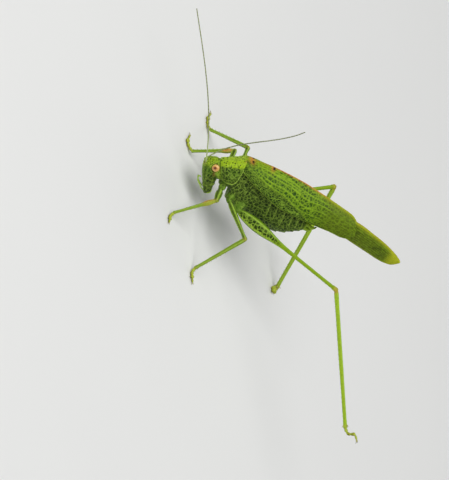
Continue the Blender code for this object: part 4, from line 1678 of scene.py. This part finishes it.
@dataclass
class ForeWing(Wing):
    """Leathery fore wing: its back part lies over the back, the rest hangs down the flank."""

    ridge: Profile = Profile((
        (2.6, 2.5), (3.05, 2.7), (5.6, 3.18), (9.5, 3.31), (12.5, 3.08), (16.0, 2.66), (17.85, 2.4)))
    fold: Profile = Profile((
        (2.6, 2.3), (3.05, 2.3), (5.2, 1.86), (8.4, 1.52), (10.8, 1.1), (13.4, 1.2), (17.85, 0.95)))
    edge: Profile = Profile((
        (2.6, 1.6), (3.05, 1.48), (5.9, 0.64), (8.2, 0.02), (10.9, -0.1), (13.4, -0.16),
        (15.6, -0.1), (17.85, -0.22)))
    fold_out: Profile = Profile((
        (2.6, 0.95), (3.05, 1.12), (4.2, 1.45), (7.0, 1.66), (10.0, 1.58), (13.4, 1.18), (17.85, 0.82)))
    edge_out: Profile = Profile((
        (2.6, 1.2), (3.05, 1.4), (4.2, 1.76), (7.0, 1.94), (10.0, 1.84), (13.4, 1.24),
        (15.6, 1.0), (17.85, 0.78)))
    radius_vein: Profile = Profile((
        (2.6, 2.4), (3.8, 2.2), (5.2, 1.85), (6.75, 1.6), (8.35, 1.5), (9.6, 1.15), (10.8, 0.72),
        (12.3, -0.05), (13.0, -0.3)))
    long_veins: Keys = (  # share of the breadth near the base and near the tip, wave
        (0.36, 0.46, 0.02), (0.26, 0.3, 0.015), (0.15, 0.2, 0.012), (0.42, 0.72, 0.02))
    patches: Keys = ((3.32, 0.4, 0.34), (5.85, 0.16, 0.25))  # rusty: place, way down, size
    spots: Keys = ((3.46, 0.5), (5.95, 0.22))  # place, way down
    start: float = 2.6
    end: float = 17.85
    breadth: float = 3.4
    rounding: float = 1.9
    roundness: float = 2.4
    overlap: float = 0.03  # how far the left wing lies over the back's middle, and the right one under
    vein_height: float = 0.035
    thickness: float = 0.055
    columns: int = 300
    rows: int = 96

    def surface(self, u: Array, v: Array) -> Array:
        """Lay out the wing.

        Args:
            u: from 0 at its base to 1 at its tip.
            v: from 0 at its ridge to 1 at its lower edge.

        Returns:
            Its points in the row frame.
        """
        place = self.reach(u)
        lines = (self.ridge, self.fold, self.edge, self.fold_out, self.edge_out)
        top, bend, low, bend_out, low_out = (line.at(place) for line in lines)
        lift = self.overlap * self.side.value
        keys = [(0.03 - lift * 3.0, top + lift), (0.5 * bend_out + 0.14, 0.5 * (top + bend) + 0.16),
                (bend_out, bend), (0.5 * (bend_out + low_out) + 0.03, 0.5 * (bend + low)), (low_out, low)]
        across, up = (weave(v, [k[c] for k in keys]) for c in (0, 1))
        middle = 0.45 * top + 0.55 * low
        return self.placed(across, place, middle + (up - middle) * self.left_at(place))

    def veins(self, place: Array, up: Array, v: Array) -> Array:
        """Draw the main veins.

        Args:
            place: each corner's place along the body.
            up: its height.
            v: from 0 at the ridge to 1 at the lower edge.

        Returns:
            How much of a vein each corner is, from 0 to 1.
        """
        to_radius, down = up - self.radius_vein.at(place), v * self.breadth
        lines = [0.45 * near(to_radius, 0.05) * rise(13.0 - place, 0.0, 0.6),
                 0.35 * near(to_radius + 0.13, 0.04) * rise(12.0 - place, 0.0, 1.0)]
        inner = rise(place, 4.0, 5.5) * (1.0 - 0.5 * rise(place, 12.0, 15.0))
        for first, last, wave in self.long_veins:
            middle = first + (last - first) * (place - 3.0) / 14.0 + wave * np.sin(1.3 * place)
            lines.append(0.75 * near((v - middle) * self.breadth, 0.05) * inner)
        for k in range(3):
            middle = 0.06 + 0.055 * k * (1.0 + 0.06 * (place - 3.0))
            ends = rise(place, 5.6 + 1.6 * k, 7.5 + 1.6 * k)
            lines.append(near((v - middle) * self.breadth, 0.04) * (1.0 - ends))
        lines += [0.55 * near((1.0 - v) * self.breadth, 0.08) * rise(place, 2.8, 3.4),
                  near(place - 3.95 - 0.5 * (down - 0.3), 0.06) * rise(0.95 - down, 0.0, 0.15),
                  0.7 * near(np.hypot(place - 4.75, 1.2 * (down - 0.5)) - 0.38, 0.05)]
        return clamped(np.maximum.reduce(lines))

    def build(self) -> Item:
        """Lay the wing, mark it, raise its veins and give it its thickness.

        Returns:
            The wing, in millimetres.
        """
        item = sheet("fore_wing_" + self.side.word, self.columns, self.rows, self.surface)
        local = BODY_FRAME.back(corners(item))
        place, up, v = local[:, 1], local[:, 2], marked(item, "grain_v")
        vein = self.veins(place, up, v)
        down, to_edge = v * self.breadth, (1.0 - v) * self.breadth
        out = outward(item) * (1.0 if outward(item)[:, 0].mean() * self.side.value > 0.0 else -1.0)
        ripple = 0.012 * np.sin(2.1 * place + 5.0 * v) * np.sin(9.0 * v)
        move_corners(item, corners(item) + out * (self.vein_height * vein + ripple)[:, None])
        rust = (near(down, 0.13) * (0.45 + 0.55 * rise(place, 5.4, 6.2)) * fall(place, 11.5, 14.5)
                + 0.9 * sum(near(np.hypot(place - s, 0.7 * (down - low)), size)
                            for s, low, size in self.patches))
        yellow = (0.8 * near(down, 0.28) * rise(place, 9.0, 13.0) + 0.2 * near(to_edge, 0.08)
                  + 0.12 * rise(place, 11.0, 15.0) + 0.35 * near(down, 0.5) * fall(place, 5.5, 7.0))
        spot = sum(1.7 * near(np.hypot(1.2 * (place - s), down - low), 0.15) for s, low in self.spots)
        shade = 0.7 * near(to_edge - 0.16, 0.09) * rise(place, 3.0, 4.0) * fall(place, 13.0, 15.0)
        # front: the field below the radius vein, which the material darkens as painted shade where it hangs
        # down the flank
        front = rise(self.radius_vein.at(place) - up, -0.05, 0.05) * fall(place, 12.4, 13.4)
        mark(item, vein=vein * (1.0 - 0.45 * rise(place, 12.0, 15.5)), front=front,
             fade=0.9 * rise(place, 11.0, 14.5), rust=clamped(rust), yellow=clamped(yellow),
             spot=clamped(spot), shade=clamped(shade),
             grain=np.stack([0.8 * place + 0.25 * down, down, np.full(len(v), self.side.value)], axis=1))
        return self.close(item)


def weave(v: Array, keys: Sequence[Array]) -> Array:
    """Run a smooth line through evenly spaced keys.

    Args:
        v: where to read it, from 0 to 1.
        keys: each key's value, one number or one for every v.

    Returns:
        The line's value for every v.
    """
    last = len(keys) - 1
    stacked = np.stack([np.broadcast_to(key, v.shape) for key in keys])
    k = np.clip((v * last).astype(int), 0, last - 1)
    t = v * last - k
    a, b, c, d = (stacked[np.clip(k + step, 0, last), np.arange(len(v))] for step in (-1, 0, 1, 2))
    return 0.5 * (2 * b + (c - a) * t + (2 * a - 5 * b + 4 * c - d) * t ** 2
                  + (3 * b - a - 3 * c + d) * t ** 3)


@dataclass
class HindWing(Wing):
    """Folded fan of a hind wing, which stands out past the fore wings."""

    top: Profile = Profile(((12.5, 2.3), (17.99, 2.02), (19.5, 1.78), (22.0, 1.26), (24.4, 0.42)))
    low: Profile = Profile((
        (12.5, 0.2), (17.99, -0.38), (20.2, -0.6), (22.3, -0.78), (23.6, -0.6), (24.4, -0.03)))
    start: float = 12.5
    end: float = 24.4
    breadth: float = 2.4
    half_thickness: float = 0.4  # of the folded fan
    pleats: float = 9.0
    pleat_height: float = 0.022

    def pleat(self, place: Array, v: Array) -> Array:
        """The pleats' wave, from -1 to 1."""
        return np.sin(v * self.pleats * TURN + 0.8 * np.sin(place))

    def surface(self, u: Array, v: Array) -> Array:
        """Lay out the fan.

        Args:
            u: from 0 at its base to 1 at its tip.
            v: from 0 at its upper edge to 1 at its lower one.

        Returns:
            Its points in the row frame.
        """
        place = self.reach(u)
        top, low, left = self.top.at(place), self.low.at(place), self.left_at(place)
        middle = 0.5 * (top + low)
        swell = np.sqrt(clamped(1.0 - (2.0 * v - 1.0) ** 2))
        pleats = self.pleat_height * self.pleat(place, v) * clamped(swell * 2.0) * left
        across = 0.03 + self.half_thickness * swell * (1.0 - 0.45 * u) * left ** 0.5 + pleats
        return self.placed(across, place, middle + (top - middle) * left * (1.0 - 2.0 * v))

    def build(self) -> Item:
        """Lay the fan, mark it and give it its thickness.

        Returns:
            The fan, in millimetres.
        """
        item = sheet("hind_wing_" + self.side.word, self.columns, self.rows, self.surface)
        place, v = BODY_FRAME.back(corners(item))[:, 1], marked(item, "grain_v")
        down, to_edge, wave = v * self.breadth, (1.0 - v) * self.breadth, self.pleat(place, v)
        middle = near(v - 0.5, 0.3) * fall(place, 22.0, 23.8)
        clouds = rise(np.sin(2.9 * place + 7.0 * v) * np.sin(8.0 * v + 1.1 * place), 0.1, 0.8)
        mark(item, vein=0.32 * rise(wave, 0.75, 1.0) * (0.6 + 0.4 * np.sin(1.7 * place)),
             front=0.25 * rise(v, 0.35, 0.6) * fall(v, 0.75, 0.95),
             fade=0.95, rust=0.2 * near(down, 0.04),
             yellow=clamped(0.15 + 0.65 * near(down, 0.22) + rise(place, 22.3, 23.6)
                            + 0.6 * near(to_edge, 0.14)),
             spot=0.0,
             shade=clamped(0.2 * rise(-wave, 0.3, 1.0) + (0.12 + 0.3 * clouds) * middle),
             grain=np.stack([0.5 * place, down, np.full(len(v), 3.0)], axis=1))
        return self.close(item)


# ---- small parts


@dataclass
class Eye:
    """One bulging eye with its false pupil."""

    side: Side
    radii: Point = (0.39, 0.46, 0.46)
    centre: Point = (0.89, 0.21, 0.11)
    pupil: Point = (0.85, -0.12, 0.42)  # where the left eye's false pupil lies
    egg: float = 0.06  # how much longer it is above than below

    def build(self) -> Item:
        """Shape a sphere to the eye and mark how far each corner lies from the pupil.

        Returns:
            The eye, in millimetres.
        """
        deselect()
        bpy.ops.mesh.primitive_uv_sphere_add(segments=56, ring_count=36, radius=1.0)
        item = named("facet_eye_" + self.side.word)
        ball = corners(item)[:, [2, 0, 1]]
        mark(item, away=np.arccos(np.clip(ball @ unit(self.side.flip(self.pupil)), -1.0, 1.0)))
        egg = ball * (1.0 + self.egg * ball[:, 2:3] * np.array([0.0, 1.0, 0.0]))
        move_corners(item, FOREBODY.out(egg * self.radii + self.side.flip(self.centre)))
        face_out(item)
        return item


@dataclass
class Feeler:
    """Thick first joint, short second one and the long ringed thread."""

    side: Side
    controls: Line
    scape: float = 0.52  # length of the first joint
    pedicel: float = 0.24  # length of the second
    ring_length: float = 0.24
    scape_radius: float = 0.1
    scape_swell: float = 0.03
    pedicel_radius: float = 0.08
    waist: tuple[float, ...] = (0.08, 0.065)  # radii between the two
    base_radius: float = 0.07
    tip_radius: float = 0.055
    ring_swell: float = 0.16  # share by which a ring's middle is thicker

    def length(self) -> float:
        """Length of the feeler's curve."""
        line = bezier(self.controls, spread(0.0, 1.0, 100))
        return float(np.linalg.norm(np.diff(line, axis=0), axis=1).sum())

    def radius(self, along: float) -> float:
        """Work out how thick the feeler is.

        Args:
            along: millimetres from the root.

        Returns:
            The radius there.
        """
        if along < self.scape:
            return self.scape_radius + self.scape_swell * math.sin(math.pi * along / self.scape)
        if along < self.scape + self.pedicel:
            return self.pedicel_radius
        thin = self.base_radius + (self.tip_radius - self.base_radius) * min(1.0, along / self.length())
        return thin * (1.0 + self.ring_swell * math.cos(TURN * along / self.ring_length))

    def build(self) -> Item:
        """Extrude the feeler along its curve.

        Returns:
            The feeler, in millimetres.
        """
        total, scape = self.length(), self.scape
        places = np.concatenate([
            spread(-0.05, scape - 0.06, 8), [scape - 0.01, scape + 0.02],
            spread(scape + 0.07, scape + self.pedicel - 0.02, 4),
            np.arange(scape + self.pedicel + 0.02, total, self.ring_length / 2.0), [total]])
        radii = [0.9 * self.scape_radius, *(self.radius(max(p, 0.0)) for p in places[1:])]
        radii[8:10] = self.waist
        path = FLOOR_FRAME.out(bezier(self.controls, np.clip(places, 0.0, total) / total))
        path[0] += (path[0] - path[1]) * 0.5
        item = loft("feeler_" + self.side.word, tube_rings(path, radii, 10))
        reach = np.array([np.linalg.norm(path - corner, axis=1).argmin() for corner in corners(item)])
        mark(item, along=places[reach])
        return item


FEELERS = (
    Feeler(Side.LEFT, (
        (-0.91, -0.77, 3.62), (-4.65, -4.95, 6.0), (-7.75, -9.85, 6.7), (-10.72, -14.55, 7.6))),
    Feeler(Side.RIGHT, (
        (-1.68, -0.54, 3.36), (-1.82, -2.7, 8.05), (0.1, -2.2, 13.35), (0.64, -3.85, 17.94))))


@dataclass
class Palps:
    """Four jointed palps in front of the mouth, in the forebody frame."""

    long_left: Line = (
        (0.38, -0.85, -2.95), (0.5, -1.24, -2.8), (0.53, -1.6, -2.1), (0.54, -1.78, -1.6),
        (0.5, -1.62, -1.1), (0.46, -1.38, -1.3))
    long_right: Line = (
        (-0.38, -0.85, -2.95), (-0.52, -1.34, -2.85), (-0.54, -1.62, -2.4), (-0.54, -1.8, -2.0),
        (-0.52, -1.78, -1.5))
    short: Line = ((0.2, -0.34, -2.8), (0.42, -0.28, -3.08), (0.46, -0.6, -3.3), (0.4, -0.96, -3.24))
    radius: float = 0.064
    rings: int = 40

    def palp(self, path: Sequence[Any]) -> Item:
        """Loft one palp, waisted at its joints.

        Args:
            path: its joints in the forebody frame.

        Returns:
            The palp, in millimetres.
        """
        places = spread(0.0, 1.0, self.rings)
        waves = np.abs(np.sin(places * math.pi * (len(path) - 1)))
        radii = self.radius * (0.55 + 0.55 * np.sqrt(waves)) * np.where(places > 0.97, 0.7, 1.0)
        rings = tube_rings(smooth_path(path, self.rings), radii, 14)
        return loft("palp", [FOREBODY.out(ring) for ring in rings])

    def build(self) -> Item:
        """Make all four palps one piece with its marks.

        Returns:
            The palps, in millimetres.
        """
        shorts = [side.flip(self.short) for side in Side]
        item = join("palps", [self.palp(path) for path in (self.long_left, self.long_right, *shorts)])
        mark(item, pale=0.95, dark=0.0, rust=0.0, yellow=0.3, dots=0.15, hatch=0.0, net=0.0)
        return item


@dataclass(frozen=True)
class SpineRow:
    """Rows of spines along one segment of a leg."""

    region: Region
    turns: tuple[float, ...]  # where round the segment each row stands
    count: int
    length: float
    first: float  # share of the segment where a row starts
    last: float


HIND_SPINES = (
    SpineRow(Region.TIBIA, (2.45, -2.45), 26, 0.17, 0.08, 0.95),
    SpineRow(Region.TIBIA, (0.7, -0.7), 13, 0.13, 0.3, 0.95),
    SpineRow(Region.TIBIA, (2.45, -2.45, 0.75, -0.75), 1, 0.34, 0.985, 0.985),
    SpineRow(Region.FEMUR, (0.4, -0.4), 5, 0.11, 0.62, 0.9))
OTHER_SPINES = (
    SpineRow(Region.TIBIA, (0.6, -0.6), 7, 0.2, 0.4, 0.96),
    SpineRow(Region.TIBIA, (2.5, -2.5), 3, 0.14, 0.45, 0.9),
    SpineRow(Region.FEMUR, (0.45, -0.45), 4, 0.12, 0.35, 0.88))


@dataclass
class Bristles:
    """Rows of small spines on the legs, pairs of claws on the feet and fine hairs all over the legs."""

    hairs: int = 150  # on each leg
    seed: int = 5
    spine_lean: float = 0.75  # how far they lean to the foot
    hair_lean: float = 0.9
    tibia_share: float = 0.62  # of the hairs on femur and tibia
    hair_turn: float = 6.28  # how far round a leg they stand
    leg_hair: tuple[float, float] = (0.09, 0.07)  # least length, and how much longer a hair may be
    foot_hair: tuple[float, float] = (0.08, 0.05)
    off_floor: float = 0.1  # how high a hair's tip has to end
    claw_spread: float = 0.45

    def needle(self, name: str, radius: float, bow: float, sides: int) -> Item:
        """Make a hooked needle of unit length along Z, which bows to its Y side.

        Args:
            name: what to call it.
            radius: at its base.
            bow: how far its tip bows.
            sides: its number of sides.

        Returns:
            The needle, with the mark tip.
        """
        reach = np.array([0.0, 0.35, 0.7, 1.0])
        path = np.stack([np.zeros(4), bow * reach ** 2.2, reach], axis=1)
        item = loft(name, tube_rings(path, radius * np.array([1.0, 0.8, 0.48, 0.08]), sides))
        mark(item, tip=corners(item)[:, 2])
        return item

    def planted(self, name: str, pattern: Item, places: Sequence[Growth]) -> Item:
        """Plant many copies of a needle, each with corners of its own.

        Args:
            name: what to call the piece.
            pattern: the needle, which points along +Z from the origin; it is used up.
            places: where the copies grow.

        Returns:
            All copies as one piece.
        """
        model, tips = corners(pattern), marked(pattern, "tip")
        faces = [tuple(face.vertices) for face in pattern.data.polygons]
        points, shapes = [], []
        for k, (base, direction, lean, length) in enumerate(places):
            along = unit(direction)
            across = unit(np.cross(lean, along))
            turn = np.stack([across, np.cross(along, across), along], axis=1)
            points.append(model * length @ turn.T + base)
            shapes += [tuple(v + k * len(model) for v in face) for face in faces]
        mesh = bpy.data.meshes.new(name)
        mesh.from_pydata(np.concatenate(points).tolist(), [], shapes)
        bpy.data.objects.remove(pattern)
        item = bpy.data.objects.new(name, mesh)
        bpy.context.scene.collection.objects.link(item)
        mark(item, tip=np.tile(tips, len(places)))
        return item

    def on_leg(self, stretch: Stretch, pair: Pair, share: float, turn: float, length: float,
               lean: float) -> Growth:
        """Find a place on a straight stretch of leg.

        Args:
            stretch: the femur or the tibia.
            pair: the pair of legs.
            share: how far along the stretch.
            turn: the angle from the side that the joint folds to.
            length: the needle's length.
            lean: how far the needle leans to the foot.

        Returns:
            Base, direction, the side it leans to and length.
        """
        shapes, place = TIBIA_SHAPES if stretch.region is Region.TIBIA else FEMUR_SHAPES, stretch.frame
        depth, width = Profile(shapes[pair]).row(share)
        radial = np.array([math.sin(turn), math.cos(turn), 0.0])
        base = radial * (width, depth, 0.0) * 0.95 + (0.0, 0.0, share * stretch.length)
        return place.out(base), place.turn(radial + (0.0, 0.0, lean)), place.turn((0.02, 0.01, 1.0)), length

    def spines(self) -> Item:
        """Plant all spines.

        Returns:
            The spines as one piece, in millimetres.
        """
        places: list[Growth] = []
        for leg in LEGS:
            segments = {stretch.region: stretch for stretch in leg.stretches()}
            for row in HIND_SPINES if leg.pair is Pair.HIND else OTHER_SPINES:
                stretch, shares = segments[row.region], spread(row.first, row.last, row.count)
                places += [self.on_leg(stretch, leg.pair, share, turn, row.length, self.spine_lean)
                           for turn in row.turns for share in shares]
        return self.planted("spines", self.needle("thorn", 0.16, 0.16, 6), places)

    def claws(self) -> Item:
        """Plant two claws on each foot.

        Returns:
            The claws as one piece, in millimetres.
        """
        places: list[Growth] = []
        for leg in LEGS:
            path = FLOOR_FRAME.out(leg.foot_path())
            base = path[int(len(path) * FOOT_SHARE) - 2]
            along = unit(path[-1] - base)
            across = unit(np.cross(along, (0.0, 0.0, 1.0)))
            down = np.cross(along, across)
            reach = float(np.linalg.norm(path[-1] - base)) * 1.15
            places += [(base, along + turn * across - 0.22 * down, down, reach)
                       for turn in (self.claw_spread, -self.claw_spread)]
        return self.planted("claws", self.needle("hook", 0.15, 0.34, 8), places)

    def hair(self) -> Item:
        """Plant fine hairs on all legs and feet.

        Returns:
            The hairs as one piece, in millimetres.
        """
        dice = np.random.default_rng(self.seed)
        places: list[Growth] = []
        for leg in LEGS:
            femur, tibia, foot = leg.stretches()[2:5]
            for _ in range(self.hairs):
                stretch = tibia if dice.random() < self.tibia_share else femur
                share, turn = 0.04 + 0.94 * dice.random(), self.hair_turn * dice.random()
                length = self.leg_hair[0] + self.leg_hair[1] * dice.random()
                places.append(self.on_leg(stretch, leg.pair, share, turn, length, self.hair_lean))
            rings = foot.placed()
            for _ in range(self.hairs // 3):
                k, side = int(dice.integers(4, len(rings) - 2)), int(dice.integers(0, len(rings[0])))
                base, middle = rings[k][side], rings[k].mean(axis=0)
                growth = unit(base - middle) + 0.8 * unit(rings[k + 1].mean(axis=0) - middle)
                if base[2] + 0.14 * unit(growth)[2] > self.off_floor:
                    length = self.foot_hair[0] + self.foot_hair[1] * dice.random()
                    places.append((base, growth, np.array([0.1, 0.2, 1.0]), length))
        return self.planted("hairs", self.needle("hair", 0.055, 0.1, 3), places)


# ---- studio


@dataclass(frozen=True)
class Lamp:
    """One soft square light."""

    name: str
    place: Point
    size: float
    watts: float


@dataclass
class Studio:
    """Pale floor, soft lights and the camera, in metres."""

    floor_size: float = 0.9
    camera_place: Point = (0.17017, -0.18114, 0.13508)
    camera_right: Point = (-0.1889, 0.4563, 0.8695)
    camera_up: Point = (-0.7751, -0.613, 0.1533)
    lens: float = 187.5
    sensor: float = 36.0
    world_strength: float = 0.24
    world_colour: tuple[float, ...] = (0.95, 0.97, 1.0, 1.0)
    lamps: tuple[Lamp, ...] = (
        Lamp("key", (0.02, -0.16, 0.36), 0.26, 1.16), Lamp("fill", (0.36, -0.02, 0.24), 0.3, 0.22),
        Lamp("back", (-0.2, 0.3, 0.26), 0.28, 0.36))

    def add_floor(self) -> None:
        """Lay the floor."""
        deselect()
        bpy.ops.mesh.primitive_plane_add(size=self.floor_size)
        floor = named("floor")
        floor.data.materials.append(PaleFloor("floor_paper").material())

    def add_lights(self) -> None:
        """Hang the soft lights, all turned to the animal, and light the room."""
        for lamp in self.lamps:
            bpy.ops.object.light_add(type="AREA", location=lamp.place)
            light = bpy.context.object
            light.name = lamp.name + "_light"
            light.data.size = lamp.size
            light.data.energy = lamp.watts
            light.rotation_euler = (-Vector(lamp.place)).to_track_quat("-Z", "Y").to_euler()
        world = bpy.data.worlds.new("room")
        world.use_nodes = True
        background = world.node_tree.nodes["Background"]
        background.inputs["Color"].default_value = self.world_colour
        background.inputs["Strength"].default_value = self.world_strength
        bpy.context.scene.world = world

    def add_camera(self) -> None:
        """Set up the camera, which is rolled so that the animal's back faces right."""
        bpy.ops.object.camera_add()
        camera = bpy.context.object
        right, up = Vector(self.camera_right).normalized(), Vector(self.camera_up).normalized()
        turn = Matrix((right, up, right.cross(up))).transposed().to_4x4()
        camera.matrix_world = Matrix.Translation(self.camera_place) @ turn
        camera.data.lens, camera.data.sensor_width, camera.data.clip_start = self.lens, self.sensor, 0.01
        bpy.context.scene.camera = camera

    def build(self) -> None:
        """Set the whole studio up."""
        bpy.context.scene.view_settings.view_transform = "Standard"
        self.add_floor()
        self.add_lights()
        self.add_camera()


def build_grasshopper() -> None:
    """Build and dress every piece of the animal."""
    green = Cuticle("green_cuticle").material()
    skin = Skin()
    finish_piece(skin.build(), green, skin.nodes(), crease=60.0)
    saddle = Cuticle("shield_cuticle", yellow=(0.41, 0.6, 0.012), dots_in_a_millimetre=3.5).material()
    finish_piece(Shield().build(), saddle)
    finish_piece(Palps().build(), green, ("palp_left", "palp_right"))
    leather = WingLeather("wing_leather").material()
    facets = EyeFacets("eye_facets").material()
    for side in Side:
        finish_piece(ForeWing(side).build(), leather, ("tegmen_" + side.word,))
        finish_piece(HindWing(side).build(), leather, ("hindwing_" + side.word,))
        finish_piece(Eye(side).build(), facets, ("eye_" + side.word,))
    thread = Thread("feeler_thread").material()
    for feeler in FEELERS:
        word = feeler.side.word
        nodes = ["scape_" + word] + ["antenna_%s_%s" % (word, part) for part in ("base", "middle", "tip")]
        finish_piece(feeler.build(), thread, nodes)
    horn = Horn("leg_horn").material()
    bristles = Bristles()
    for item in (bristles.spines(), bristles.claws(), bristles.hair()):
        finish_piece(item, horn)


def main() -> None:
    """Build the studio and the animal."""
    logging.basicConfig(level=logging.INFO, format="%(name)s %(message)s")
    Studio().build()
    build_grasshopper()


if __name__ == "__main__":
    main()
